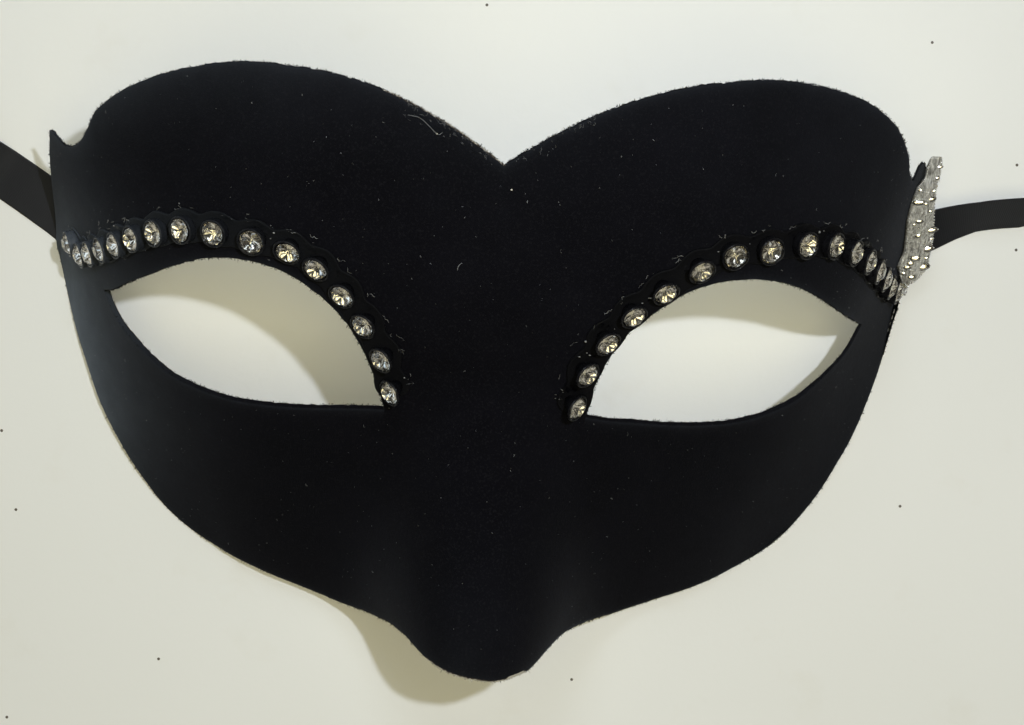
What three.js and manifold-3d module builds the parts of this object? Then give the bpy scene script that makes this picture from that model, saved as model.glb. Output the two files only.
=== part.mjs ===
// Masquerade half mask, lying face up: a thin flocked plastic shell with a rhinestone band over each eye,
// a silver ornament on the right temple and a ribbon tie at each temple.
// Millimetres, +Z up, the mask rests on z = 0. +Y is toward the top (brow) edge, -Y toward the nose tip.
import * as THREE from 'three';
import Module from 'manifold-3d';

const wasm = await Module();
wasm.setup();
const { Manifold, Mesh: MMesh } = wasm;

// ---------------------------------------------------------------- driving dimensions
const WALL = 1.2;                 // shell thickness, flock included
const TILT = 35.3;                // degrees the face leans back when it lies on temples and cheeks
const LIFT = 45.99;               // height of the brow line over the table, measured along the face normal
const CLEAR = 0.20;               // raises the trimmed edge so that only its lands touch the table
const UNDERPASS = { y: 2.6, z: 0.6 };   // the left heel rides over its ribbon by this much, above this y
const TUCK = 2.2;                 // the right temple is pressed in by this much

// across the face: curvature (1/mm) of the horizontal section at these girth stations
const GIRTH = [0, 24.2, 46.2, 63.8, 79.2, 94.6, 121];
const BEND = [0.0054, 0.0004, 0.0244, 0.0184, 0.0059, 0.0059, 0.005];
// up and down: the face falls away from its highest line
const CREST_V = 9.85, FALL_UP = 0.00573, FALL_DOWN = 0.00136, TEMPLE_FALL = 0.287;
// nose cover
const NOSE_H = 35.2, NOSE_W = 9.98, NOSE_SPREAD = 0.121, NOSE_TOP = 13.2, NOSE_RUN = 49.5, NOSE_P = 2.4;
// temples flare outward with height
const FLARE_FROM = 55, FLARE_RUN = 49.5, FLARE_LIN = -0.0683, FLARE_SQ = 0.00985, FLARE_V = 5.5;

// trim line of the pattern: girth a (mm from the middle) and height v (mm)
const NOTCH_U = 1.3, NOTCH_V = 50.5, LOBE_V = 62.8, NOTCH_P = 1.94, LOBE_P = { L: 3.2, R: 3.0 };
const LOBE_A = { L: 37, R: 41 }, CORNER_A = { L: 81, R: 87.5 }, CORNER_DROP = { L: 18.4, R: 21.2 };
const HEEL = [108.2, 6.0];
const SPIKE = {                   // lobe corner, hollow, spike tip, back edge, heel
  L: [[81, 44.4], [83.2, 40.3], [85.4, 37.4], [88.2, 35.1], [91, 34.0], [93.5, 34.3], [96, 34.4], [98.1, 33.1], [99.7, 30.7],
    [101.6, 27.5], [105.1, 19.8], [106.9, 12.5], HEEL],
  R: [[87.5, 41.6], [90, 38.2], [91.6, 35.8], [93.3, 33.5], [94.8, 32.2], [96, 31.9], [96.6, 34.0], [97.9, 34.4], [100.4, 32.9],
    [103, 30.2], [104.8, 26.6], [106.2, 18.5], [107.2, 12.0], HEEL],
};
const LOWER = {                   // heel, jaw, cheek low, wing of the nose, nose tip
  L: [HEEL, [107.6, 3.4], [104.1, -0.9], [100.2, -4.5], [94.3, -9.6], [88, -14.8], [82.5, -20.7], [76.9, -26.6], [70.9, -33.7], [65.6, -40],
    [60.4, -43.5], [53.8, -45.2], [46.7, -46.5], [40.2, -48.2], [33.9, -49.6], [30.7, -49.8], [27.5, -49.3], [24.3, -47.5], [19.3, -42.7],
    [14.5, -36.8], [11.7, -33.9], [8.9, -32.7], [4.1, -31.6], [0, -31.9]],
  R: [HEEL, [108.0, 2.4], [105.7, -1.8], [101.1, -5.7], [94.6, -11], [87.8, -16.2], [81.7, -22.1], [77.2, -26.8], [70.8, -34.8], [65.7, -40.7],
    [60.6, -44.2], [54.2, -46], [47.1, -47.4], [40.6, -48.9], [34.3, -50.4], [31.2, -50.6], [28, -50.1], [24.7, -48.3], [21.3, -45.5],
    [15.6, -39.5], [12.5, -37.3], [8.5, -35.6], [4.8, -33.2], [0, -31.9]],
};
const EYE_IN = [18.3, 2.9], EYE_OUT = { L: [83.3, 5.4], R: [84.8, 4.5] };
const EYE_TOP = {
  L: [EYE_IN, [20.2, 10.4], [22.6, 16.7], [25.3, 21.4], [29, 25.4], [33.5, 28.5], [38, 30.3], [43.2, 30.9], [48.5, 30.3], [54, 28.4],
    [60.4, 24.6], [66.8, 19.8], [74.4, 13.3], EYE_OUT.L],
  R: [EYE_IN, [20.2, 10.6], [22.6, 16.7], [25.3, 21.4], [29, 25.4], [33.5, 28.6], [38, 30.3], [43.2, 30.9], [48.5, 30.3], [54, 28.5],
    [60.4, 24.9], [66.8, 19.8], [74.4, 13.5], EYE_OUT.R],
};
const EYE_LOW = {
  L: [EYE_IN, [22.6, 2.5], [28.6, 1.9], [34.6, 1.2], [40.7, 0.65], [47.2, 0], [54.2, -0.4], [62, -0.5], [67, 0.15], [72, 1.2], [78, 2.3], EYE_OUT.L],
  R: [EYE_IN, [22.6, 1.8], [28.6, 1.1], [34.6, 0.35], [40.7, -0.3], [47.2, -0.85], [54.2, -1.1], [62, -0.85], [67, 0], [72, 0.6], [79, 1.2], EYE_OUT.R],
};

// rhinestone band: one station a stone, laid by hand, from the temple to the nose
const ROW = {
  L: [[94.6, 11.5], [89, 12.2], [84.4, 15.2], [79.2, 18.9], [73.9, 22.8], [68.8, 26.6], [63.3, 30.2], [57.2, 33.1],
    [50.1, 34.7], [42.5, 34.9], [35.8, 34.1], [30.7, 31.7], [26.1, 27.4], [22.3, 22.1], [19.1, 15.7], [17.4, 8.9]],
  R: [[99.8, 4.8], [94.4, 9.2], [89, 14.2], [83.5, 18.9], [77.7, 23.9], [71.9, 28.3], [65.8, 32.1], [58.8, 34.5],
    [50.5, 35.5], [43, 35.7], [36.8, 33.6], [30.6, 29.9], [25.3, 25.7], [21.1, 20.6], [18, 14.3], [16.5, 7.1]],
};
const GAP = 0.3;                  // glue line
const STRIP_T = 0.5, STRIP_UP = 3.6, STRIP_VALLEY = 2.9, STRIP_DOWN = 2.7, STRIP_END = 3.0;
const CUP_R = 2.6, CUP_BORE = 2.32, CUP_TOP = 2.05, CUP_SEAT = 1.15;
const STONE_R = 2.12, STONE_TABLE = 1.2, STONE_LOW = 1.35, STONE_GIRDLE = 1.75, STONE_TOP = 2.75, SIDES = 8;

// temple ornament, right side: a stiff spray that stands off the back edge; from its lower end to the leaf at its top,
// the inner edge x, y, z, its width, its lean (degrees) and how high its stones stand
const SPRAY = [
  [84.0, 3.0, 4.0, 0.8, 42, 1.8], [83.1, 4.7, 5.2, 3.9, 42, 2.6], [82.6, 6.5, 6.2, 5.6, 42, 3.3], [82.6, 9.6, 8.7, 5.1, 43, 3.5],
  [82.4, 12.4, 11.4, 5.0, 45, 3.5], [81.8, 15.3, 15.0, 4.8, 48, 3.4], [81.5, 19.0, 18.6, 3.8, 50, 3.2], [81.9, 21.6, 20.8, 3.1, 50, 2.6],
  [83.1, 23.3, 21.6, 2.3, 50, 1.9], [83.3, 26.0, 23.1, 1.9, 50, 1.7], [84.0, 27.4, 23.9, 0.6, 50, 1.3],
];
const SPRAY_T = 1.0;
const SPRAY_STONES = [            // [station, offset across from the middle, radius]
  [1.2, 0.1, 1.05], [2.0, -1.3, 1.15], [2.1, 1.4, 1.2], [2.8, -1.2, 1.2], [2.9, 1.3, 1.2], [3.6, -1.1, 1.15], [3.65, 1.25, 1.2],
  [4.3, -1.15, 1.15], [4.35, 1.15, 1.2], [4.9, -1.05, 1.05], [4.95, 1.1, 1.1], [5.5, -0.95, 0.95], [5.55, 0.95, 1.0], [6.3, 0.0, 1.05],
];

// ribbon ties: woven ribbon glued inside each temple, leaving under the back edge
const RIBBON_W = 9.8, RIBBON_T = 0.3;
const GLUED = {                   // girth and height of the glued end inside each temple
  L: [[87.5, 8.6], [90.5, 8.4], [93.5, 8.2]],
  R: [[93, 12.9], [96, 12.6], [99, 12.3]],
};
const ROLL_R = 22, ROLL_PITCH = 4.2, ROLL_TURNS = 3.3, ROLL_OUT = 22.6;
const ROLL = {                    // middle of each loose roll, and the heading in which its ribbon arrives (degrees)
  L: { x: -135.0, y: 14.0, heading: 148.3 },
  R: { x: 140.0, y: -2.4, heading: 3.0 },
};
const LAID = {                    // middle line between the temple and the roll: x, y, height, tilt of the width and its heading (degrees)
  L: [[-79.5, 3.7, 6.9, 35, 89], [-81.2, 5.6, 3.9, 30, 83], [-82.8, 7.4, 1.35, 14, 70], [-84.9, 9.3, 0.17, 0, 58], [-88.6, 11.9, 0.17, 0, 56.5], [-93.6, 15.2, 0.17, 0, 56.5],
    [-98.5, 18.3, 0.17, 0, 57], [-104.5, 22.1, 1.6, 18, 57], [-111.0, 26.3, 4.2, 58, 57]],
  R: [[79.7, 9.4, 7.3, 35.5, 90], [80.9, 10.6, 4.9, 35.5, 90], [82.2, 11.6, 3.05, 33, 94], [84.2, 12.1, 2.9, 33, 105], [88.8, 13.7, 2.8, 32, 108], [93.6, 15.6, 3.5, 44, 108],
    [98.4, 17.0, 4.35, 60, 104], [103.2, 17.8, 4.2, 54, 98], [107.9, 18.3, 3.9, 50, 96], [115.0, 18.9, 4.6, 72, 94]],
};

// ---------------------------------------------------------------- shell surface
const N_STEP = 520, STEP = 130 / N_STEP;
const theta = [0], sx = [0], sz = [0];
const lerpTable = (X, Y, x) => {
  if (x <= X[0]) return Y[0];
  for (let i = 1; i < X.length; i++) if (x <= X[i]) return Y[i - 1] + (Y[i] - Y[i - 1]) * (x - X[i - 1]) / (X[i] - X[i - 1]);
  return Y[Y.length - 1];
};
for (let i = 1; i <= N_STEP; i++) {
  const k = (lerpTable(GIRTH, BEND, i * STEP) + lerpTable(GIRTH, BEND, (i - 1) * STEP)) / 2;
  theta[i] = theta[i - 1] + k * STEP;
  sx[i] = sx[i - 1] + (Math.cos(theta[i]) + Math.cos(theta[i - 1])) / 2 * STEP;
  sz[i] = sz[i - 1] - (Math.sin(theta[i]) + Math.sin(theta[i - 1])) / 2 * STEP;
}
const sample = (arr, a) => { const f = Math.min(a / STEP, N_STEP - 1e-6), i = Math.floor(f); return arr[i] + (arr[i + 1] - arr[i]) * (f - i); };
const clamp = (x, lo, hi) => Math.min(hi, Math.max(lo, x));
const ease = (x) => x * x * (3 - 2 * Math.min(x, 1));
const tc = Math.cos(TILT * Math.PI / 180), ts = Math.sin(TILT * Math.PI / 180);

function face(u, v) {             // outer surface of the mask at girth u (negative = left) and height v
  const a = Math.abs(u), side = u < 0 ? -1 : 1;
  const flare = ease(clamp((a - FLARE_FROM) / FLARE_RUN, 0, 1.2));
  const fall = (v > CREST_V ? FALL_UP : FALL_DOWN) * (v - CREST_V) ** 2 * (1 + TEMPLE_FALL * flare);
  const w = NOSE_W + NOSE_SPREAD * clamp(-v, 0, 66);
  const nose = NOSE_H * ease(clamp((NOSE_TOP - v) / NOSE_RUN, 0, 1)) * Math.exp(-((a / w) ** NOSE_P) / 1.6);
  const o = nose - fall, t = sample(theta, a);
  const x = sample(sx, a) + o * Math.sin(t) + flare * (FLARE_LIN * (v - FLARE_V) + FLARE_SQ * (v - FLARE_V) ** 2) - (u > 0 ? TUCK * flare : 0);
  const z = sample(sz, a) + o * Math.cos(t) + LIFT;
  return new THREE.Vector3(side * x, v * tc - z * ts, v * ts + z * tc + CLEAR);
}
function faceFrame(u, v, h = 0.05) {
  const du = face(u + h, v).sub(face(u - h, v)), dv = face(u, v + h).sub(face(u, v - h));
  const n = new THREE.Vector3().crossVectors(du, dv).normalize();
  return { p: face(u, v), du: du.normalize(), n };
}
const onFace = (u, v, h) => { const f = faceFrame(u, v); return f.p.addScaledVector(f.n, h); };

// ---------------------------------------------------------------- trim line
const spline = (pts, n = 24) => new THREE.CatmullRomCurve3(pts.map(([a, v]) => new THREE.Vector3(a, v, 0)), false, 'centripetal').getPoints(pts.length * n);
const yAt = (poly, a) => {        // height of a trim curve at girth a
  const up = poly[0].x < poly[poly.length - 1].x;
  for (let i = 1; i < poly.length; i++) {
    const p = poly[i - 1], q = poly[i], lo = up ? p : q, hi = up ? q : p;
    if (a >= lo.x && a <= hi.x) return hi.x - lo.x < 1e-9 ? hi.y : lo.y + (hi.y - lo.y) * (a - lo.x) / (hi.x - lo.x);
  }
  return a < Math.min(poly[0].x, poly[poly.length - 1].x) ? (up ? poly[0].y : poly[poly.length - 1].y) : (up ? poly[poly.length - 1].y : poly[0].y);
};
const both = (t) => ({ L: spline(t.L), R: spline(t.R) });
const spikeLine = both(SPIKE), lowerLine = both(LOWER), eyeTopLine = both(EYE_TOP), eyeLowLine = both(EYE_LOW);
function topEdge(u) {
  const a = Math.abs(u), s = u < NOTCH_U ? 'L' : 'R', reach = LOBE_A[s] + (s === 'L' ? NOTCH_U : -NOTCH_U), d = Math.abs(u - NOTCH_U);
  if (d < reach) return LOBE_V - (LOBE_V - NOTCH_V) * ((reach - d) / reach) ** NOTCH_P;
  if (a < CORNER_A[s]) return LOBE_V - CORNER_DROP[s] * ((a - LOBE_A[s]) / (CORNER_A[s] - LOBE_A[s])) ** LOBE_P[s];
  return yAt(spikeLine[s], a);
}

// ---------------------------------------------------------------- shell solid
const COLS = {
  L: [2.8, 5.6, 8.4, 11.1, 13.7, 16.2, EYE_IN[0], 19.8, 22.2, 25.4, 29, 33, 37.6, 42.4, 47.2, 52, 56.8, 62, 67.2, 72.6, 78.4,
    EYE_OUT.L[0], 85.6, 88.2, 91, 94, 97.2, 100, 103.2, 105.4, 107, 107.8, HEEL[0]],
  R: [4.1, 6.8, 9.0, 11.1, 13.7, 16.2, EYE_IN[0], 19.8, 22.2, 25.4, 29, 33, 37.6, 42.4, 47.2, 52, 56.8, 62, 67.2, 72.6, 78.4,
    EYE_OUT.R[0], 87.6, 90.6, 94.2, 96.1, 96.8, 99.6, 102.6, 104.8, 106.6, 107.7, HEEL[0]],
};
const ROWS_UP = 6, ROWS_LOW = 6;

function shellGeometry() {
  const us = [...COLS.L.slice().reverse().map((a) => -a), NOTCH_U, ...COLS.R];
  const verts = [], outer = [], key = new Map();
  const vid = (k, u, v) => { if (!key.has(k)) { key.set(k, verts.length); verts.push([u, v]); } return key.get(k); };
  const grid = us.map((u, i) => {
    const a = Math.abs(u), s = u < 0 ? 'L' : 'R';
    const top = topEdge(u), low = yAt(lowerLine[s], a);
    const hole = a > EYE_IN[0] + 1e-6 && a < EYE_OUT[s][0] - 1e-6, tip = a >= HEEL[0] - 1e-6;
    const out = EYE_OUT[s], seamV = a <= EYE_IN[0] ? EYE_IN[1] : out[1] + (HEEL[1] - out[1]) * (a - out[0]) / (HEEL[0] - out[0]);
    const ht = hole ? yAt(eyeTopLine[s], a) : seamV, hb = hole ? yAt(eyeLowLine[s], a) : seamV;
    const up = [], lo = [];
    for (let j = 0; j <= ROWS_UP; j++) up.push(tip ? vid(`t${i}`, u, HEEL[1]) : j === 0 && !hole ? vid(`s${i}`, u, seamV) : vid(`u${i}_${j}`, u, ht + (top - ht) * j / ROWS_UP));
    for (let j = 0; j <= ROWS_LOW; j++) lo.push(tip ? vid(`t${i}`, u, HEEL[1]) : j === ROWS_LOW && !hole ? vid(`s${i}`, u, seamV) : vid(`l${i}_${j}`, u, low + (hb - low) * j / ROWS_LOW));
    return { up, lo };
  });
  const tri = (a, b, c) => { if (a !== b && b !== c && a !== c) outer.push([a, b, c]); };
  for (let i = 0; i + 1 < us.length; i++) for (const [k, n] of [['up', ROWS_UP], ['lo', ROWS_LOW]]) for (let j = 0; j < n; j++) {
    const p = grid[i][k][j], q = grid[i + 1][k][j], r = grid[i + 1][k][j + 1], t = grid[i][k][j + 1];
    if (us[i] < 0) { tri(p, q, t); tri(q, r, t); } else { tri(p, q, r); tri(p, r, t); }
  }
  const n = verts.length, pos = [];
  for (const h of [0, -WALL]) for (const [u, v] of verts) { const p = onFace(u, v, h); pos.push(p.x, p.y, Math.max(p.z, u < -100 && p.y > UNDERPASS.y ? UNDERPASS.z : 0)); }
  const idx = [], seen = new Map();
  for (const [a, b, c] of outer) {
    idx.push(a, b, c, n + a, n + c, n + b);
    for (const [x, y] of [[a, b], [b, c], [c, a]]) seen.set(`${x}_${y}`, [x, y]);
  }
  for (const [x, y] of seen.values()) if (!seen.has(`${y}_${x}`)) idx.push(y, x, n + x, y, n + x, n + y);
  return [pos, idx];
}

// ---------------------------------------------------------------- helpers for closed solids
function latheMesh(profile, sides, origin, xa, ya, za) {   // profile [r, h] from the axis out and back to the axis
  const pos = [], idx = [], rings = [];
  for (const [r, h] of profile) {
    if (r < 1e-6) { rings.push([pos.length / 3]); const p = origin.clone().addScaledVector(za, h); pos.push(p.x, p.y, p.z); continue; }
    const ring = [];
    for (let k = 0; k < sides; k++) {
      const f = (k + 0.5) * 2 * Math.PI / sides;
      const p = origin.clone().addScaledVector(xa, r * Math.cos(f)).addScaledVector(ya, r * Math.sin(f)).addScaledVector(za, h);
      ring.push(pos.length / 3); pos.push(p.x, p.y, p.z);
    }
    rings.push(ring);
  }
  for (let i = 0; i + 1 < rings.length; i++) for (let k = 0; k < sides; k++) {
    const A = rings[i], B = rings[i + 1], k2 = (k + 1) % sides;
    if (A.length === 1) idx.push(A[0], B[k2], B[k]);
    else if (B.length === 1) idx.push(A[k], A[k2], B[0]);
    else idx.push(A[k], A[k2], B[k2], A[k], B[k2], B[k]);
  }
  return [pos, idx];
}
const toManifold = ([pos, idx]) => new Manifold(new MMesh({ numProp: 3, vertProperties: new Float32Array(pos), triVerts: new Uint32Array(idx) }));
const fromManifold = (m) => {
  const g = m.getMesh(), pos = [];
  for (let i = 0; i < g.vertProperties.length; i += g.numProp) pos.push(g.vertProperties[i], g.vertProperties[i + 1], g.vertProperties[i + 2]);
  return [pos, Array.from(g.triVerts)];
};
const group = new THREE.Group();
group.name = 'masquerade_mask';
function addPiece(name, [pos, idx], mat) {
  const g = new THREE.BufferGeometry();
  g.setAttribute('position', new THREE.Float32BufferAttribute(pos, 3));
  g.setIndex(idx);
  g.computeVertexNormals();
  const m = new THREE.Mesh(g, mat);
  m.name = name;
  group.add(m);
  return m;
}

// ---------------------------------------------------------------- rhinestone bands
function rowFrame(s, t) {         // t counts stones from the temple (0) to the nose (15)
  const sg = s === 'L' ? -1 : 1, R = ROW[s], n = R.length;
  const at = (x) => {
    const i = clamp(Math.floor(x), 0, n - 2), f = x - i;
    const P = (k) => (k < 0 ? [2 * R[0][0] - R[1][0], 2 * R[0][1] - R[1][1]] : k > n - 1 ? [2 * R[n - 1][0] - R[n - 2][0], 2 * R[n - 1][1] - R[n - 2][1]] : R[k]);
    const [p0, p1, p2, p3] = [P(i - 1), P(i), P(i + 1), P(i + 2)];
    return [0, 1].map((c) => 0.5 * (2 * p1[c] + (p2[c] - p0[c]) * f + (2 * p0[c] - 5 * p1[c] + 4 * p2[c] - p3[c]) * f * f + (3 * p1[c] - p0[c] - 3 * p2[c] + p3[c]) * f * f * f));
  };
  const [a, v] = at(t), [a1, v1] = at(t + 0.02), [a0, v0] = at(t - 0.02);
  const f = faceFrame(sg * a, v);
  const along = face(sg * a1, v1).sub(face(sg * a0, v0)).normalize();
  const up = new THREE.Vector3().crossVectors(f.n, along).multiplyScalar(s === 'L' ? 1 : -1).normalize();   // away from the eye
  return { sg, a, v, n: f.n, p: f.p, along, up };
}
function dropTo(sg, target, a, v) {   // girth and height of the face point nearest to a point in space
  for (let k = 0; k < 8; k++) {
    const h = 0.05, p = face(sg * a, v), da = face(sg * (a + h), v).sub(p).divideScalar(h), dv = face(sg * a, v + h).sub(p).divideScalar(h), r = target.clone().sub(p);
    const A = da.dot(da), B = da.dot(dv), D = dv.dot(dv), g = r.dot(da), q = r.dot(dv), det = A * D - B * B;
    a += (D * g - B * q) / det; v += (A * q - B * g) / det;
  }
  return [a, v];
}
function bandSolid(s) {
  const per = 2, n = 15 * per, half = STRIP_END / 6.9;
  const ts = [-half, ...Array.from({ length: n + 1 }, (_, i) => i / per), 15 + half];
  const pos = [], idx = [];
  ts.forEach((t) => {
    const f = rowFrame(s, t), c = Math.abs(Math.cos(Math.PI * clamp(t, 0, 15)));
    const end = t < 0 || t > 15;
    const up = end ? 1.6 : STRIP_VALLEY + (STRIP_UP - STRIP_VALLEY) * c, dn = end ? 1.6 : STRIP_DOWN;
    for (const d of [-dn, up]) {
      const [a, v] = dropTo(f.sg, f.p.clone().addScaledVector(f.up, d), f.a, f.v);
      const q = faceFrame(f.sg * a, v);
      for (const h of [GAP, GAP + STRIP_T]) { const p = q.p.clone().addScaledVector(q.n, h); pos.push(p.x, p.y, p.z); }
    }
  });
  const id = (i, j, h) => i * 4 + j * 2 + h, m = ts.length;
  const quad = (a, b, c, d) => { if (s === 'L') idx.push(a, b, c, a, c, d); else idx.push(a, c, b, a, d, c); };
  for (let i = 0; i + 1 < m; i++) {
    quad(id(i, 0, 1), id(i + 1, 0, 1), id(i + 1, 1, 1), id(i, 1, 1));
    quad(id(i, 0, 0), id(i, 1, 0), id(i + 1, 1, 0), id(i + 1, 0, 0));
    quad(id(i, 0, 0), id(i + 1, 0, 0), id(i + 1, 0, 1), id(i, 0, 1));
    quad(id(i, 1, 0), id(i, 1, 1), id(i + 1, 1, 1), id(i + 1, 1, 0));
  }
  quad(id(0, 0, 0), id(0, 0, 1), id(0, 1, 1), id(0, 1, 0));
  quad(id(m - 1, 0, 0), id(m - 1, 1, 0), id(m - 1, 1, 1), id(m - 1, 0, 1));
  let solid = toManifold([pos, idx]);
  if (solid.volume() < 0) throw new Error('band inside out');
  for (let k = 0; k < 16; k++) {
    const f = rowFrame(s, k), ya = new THREE.Vector3().crossVectors(f.n, f.along);
    const cup = toManifold(latheMesh([[0, GAP + 0.15], [CUP_R, GAP + 0.15], [CUP_R, CUP_TOP - 0.15], [CUP_BORE, CUP_TOP], [CUP_BORE, CUP_SEAT], [0, CUP_SEAT]], SIDES, f.p, f.along, ya, f.n));
    solid = solid.add(cup);
  }
  return fromManifold(solid);
}
function stoneMesh(s, k) {
  const f = rowFrame(s, k), ya = new THREE.Vector3().crossVectors(f.n, f.along);
  return latheMesh([[0, STONE_LOW], [STONE_R, STONE_LOW], [STONE_R, STONE_GIRDLE], [STONE_TABLE, STONE_TOP], [0, STONE_TOP]], SIDES, f.p, f.along, ya, f.n);
}

// ---------------------------------------------------------------- temple ornament
function sprayAt(t) {             // station t of the spray: inner edge, directions across and off the plate, width, stone height
  const i = clamp(Math.floor(t), 0, SPRAY.length - 2), q = SPRAY[i].map((x, k) => x + (SPRAY[i + 1][k] - x) * (t - i)), r = q[4] * Math.PI / 180;
  return { p: new THREE.Vector3(q[0], q[1], q[2]), across: new THREE.Vector3(Math.cos(r), 0.02, -Math.sin(r)), off: new THREE.Vector3(Math.sin(r), -0.02, Math.cos(r)), width: q[3], top: q[5] };
}
function spraySolid() {
  const pos = [], idx = [], m = SPRAY.length;
  for (let i = 0; i < m; i++) {
    const q = sprayAt(i);
    for (const d of [0, q.width]) for (const h of [0, SPRAY_T]) { const c = q.p.clone().addScaledVector(q.across, d).addScaledVector(q.off, h); pos.push(c.x, c.y, c.z); }
  }
  const id = (i, j, h) => i * 4 + j * 2 + h, quad = (a, b, c, d) => idx.push(a, b, c, a, c, d);
  for (let i = 0; i + 1 < m; i++) {
    quad(id(i, 0, 1), id(i, 1, 1), id(i + 1, 1, 1), id(i + 1, 0, 1));
    quad(id(i, 0, 0), id(i + 1, 0, 0), id(i + 1, 1, 0), id(i, 1, 0));
    quad(id(i, 0, 0), id(i, 0, 1), id(i + 1, 0, 1), id(i + 1, 0, 0));
    quad(id(i, 1, 0), id(i + 1, 1, 0), id(i + 1, 1, 1), id(i, 1, 1));
  }
  quad(id(0, 0, 0), id(0, 1, 0), id(0, 1, 1), id(0, 0, 1));
  quad(id(m - 1, 0, 0), id(m - 1, 0, 1), id(m - 1, 1, 1), id(m - 1, 1, 0));
  let solid = toManifold([pos, idx]);
  for (const [t, off, r] of SPRAY_STONES) {
    const q = sprayAt(t), c = q.p.clone().addScaledVector(q.across, q.width / 2 + off), ya = new THREE.Vector3().crossVectors(q.off, q.across);
    solid = solid.add(toManifold(latheMesh([[0, 0.5], [r, 0.5], [r, q.top - r * 0.7], [0, q.top]], 5, c, q.across, ya, q.off)));
  }
  return fromManifold(solid);
}

// ---------------------------------------------------------------- ribbons
function ribbonStations(s) {      // middle point and width direction along the ribbon, from the glued end to the roll
  const sg = s === 'L' ? -1 : 1, out = [];
  for (const [a, v] of GLUED[s]) {
    const f = faceFrame(sg * a, v), across = face(sg * a, v + 0.1).sub(face(sg * a, v - 0.1)).normalize();
    out.push({ p: f.p.clone().addScaledVector(f.n, -(WALL + 0.55)), w: across });
  }
  const pts = LAID[s].map(([x, y, z]) => new THREE.Vector3(x, y, z));
  LAID[s].forEach(([, , , tilt, heading], i) => {
    const r = tilt * Math.PI / 180, g = heading * Math.PI / 180;
    out.push({ p: pts[i], w: new THREE.Vector3(Math.cos(r) * Math.cos(g), Math.cos(r) * Math.sin(g), Math.sin(r)) });
  });
  const { x, y, heading } = ROLL[s], h = heading * Math.PI / 180, d = new THREE.Vector3(Math.cos(h), Math.sin(h), 0);
  const nrm = new THREE.Vector3(-d.y, d.x, 0).multiplyScalar(s === 'L' ? -1 : 1);
  const touch = new THREE.Vector3(x, y, RIBBON_W / 2 + 0.1).addScaledVector(nrm, ROLL_R), back = Math.sqrt((ROLL_OUT + 0.35) ** 2 - (ROLL_R - RIBBON_T / 2) ** 2);
  for (const k of [back + 4.5, back + 0.2]) out.push({ p: touch.clone().addScaledVector(d, -k), w: new THREE.Vector3(0, 0, 1) });
  const line = new THREE.CatmullRomCurve3(out.map((q) => q.p), false, 'centripetal'), turn = new THREE.CatmullRomCurve3(out.map((q) => q.w), false, 'centripetal'), n = out.length - 1;
  const at = (k) => ({ p: line.getPoint(k / n), w: turn.getPoint(k / n) });
  return [0, 1, 2, 2.5, 3, 3.5, 4, 4.5, 5, 5.5, 6, ...Array.from({ length: n - 6 }, (_, i) => 7 + i)].map(at);
}
function stripSolid(s) {
  const st = ribbonStations(s), n = st.length, pos = [], idx = [];
  st.forEach(({ p, w }, i) => {
    const t = st[Math.min(i + 1, n - 1)].p.clone().sub(st[Math.max(i - 1, 0)].p).normalize();
    const wn = w.clone().addScaledVector(t, -w.dot(t)).normalize(), up = new THREE.Vector3().crossVectors(t, wn).normalize();
    for (const [a, b] of [[-1, -1], [1, -1], [1, 1], [-1, 1]]) { const q = p.clone().addScaledVector(wn, a * RIBBON_W / 2).addScaledVector(up, b * RIBBON_T / 2); pos.push(q.x, q.y, Math.max(q.z, 0.02)); }
  });
  for (let i = 0; i + 1 < n; i++) for (let k = 0; k < 4; k++) { const a = i * 4 + k, b = i * 4 + (k + 1) % 4; idx.push(a, b, b + 4, a, b + 4, a + 4); }
  idx.push(0, 2, 1, 0, 3, 2); const e = (n - 1) * 4; idx.push(e, e + 1, e + 2, e, e + 2, e + 3);
  return [pos, idx];
}
function rollSolid(s) {
  const { x, y } = ROLL[s], inner = ROLL_R - ROLL_PITCH * ROLL_TURNS - 0.8, n = 16, pos = [], idx = [];
  for (let k = 0; k < n; k++) {
    const f = k * 2 * Math.PI / n, c = Math.cos(f), q = Math.sin(f);
    for (const [r, z] of [[inner, 0], [ROLL_OUT, 0], [ROLL_OUT, RIBBON_W + 0.2], [inner, RIBBON_W + 0.2]]) pos.push(x + r * c, y + r * q, z);
  }
  for (let k = 0; k < n; k++) for (let j = 0; j < 4; j++) { const a = k * 4 + j, b = k * 4 + (j + 1) % 4, c = ((k + 1) % n) * 4 + (j + 1) % 4, d = ((k + 1) % n) * 4 + j; idx.push(a, d, c, a, c, b); }
  return [pos, idx];
}

const flock = new THREE.MeshStandardMaterial({ name: 'flocked_shell', color: 0x0b0b10, roughness: 1, metalness: 0 });
const bandPlastic = new THREE.MeshStandardMaterial({ name: 'black_plastic', color: 0x0a0a0a, roughness: 0.25, metalness: 0 });
const stoneGlass = new THREE.MeshStandardMaterial({ name: 'stone', color: 0xd8dade, roughness: 0.05, metalness: 0.1 });

addPiece('mask_shell', shellGeometry(), flock);
for (const s of ['L', 'R']) {
  const nm = s === 'L' ? 'left' : 'right';
  addPiece(`${nm}_brow_band`, bandSolid(s), bandPlastic);
  for (let k = 0; k < 16; k++) addPiece(`${nm}_stone_${String(k + 1).padStart(2, '0')}`, stoneMesh(s, k), stoneGlass);
}

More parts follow.
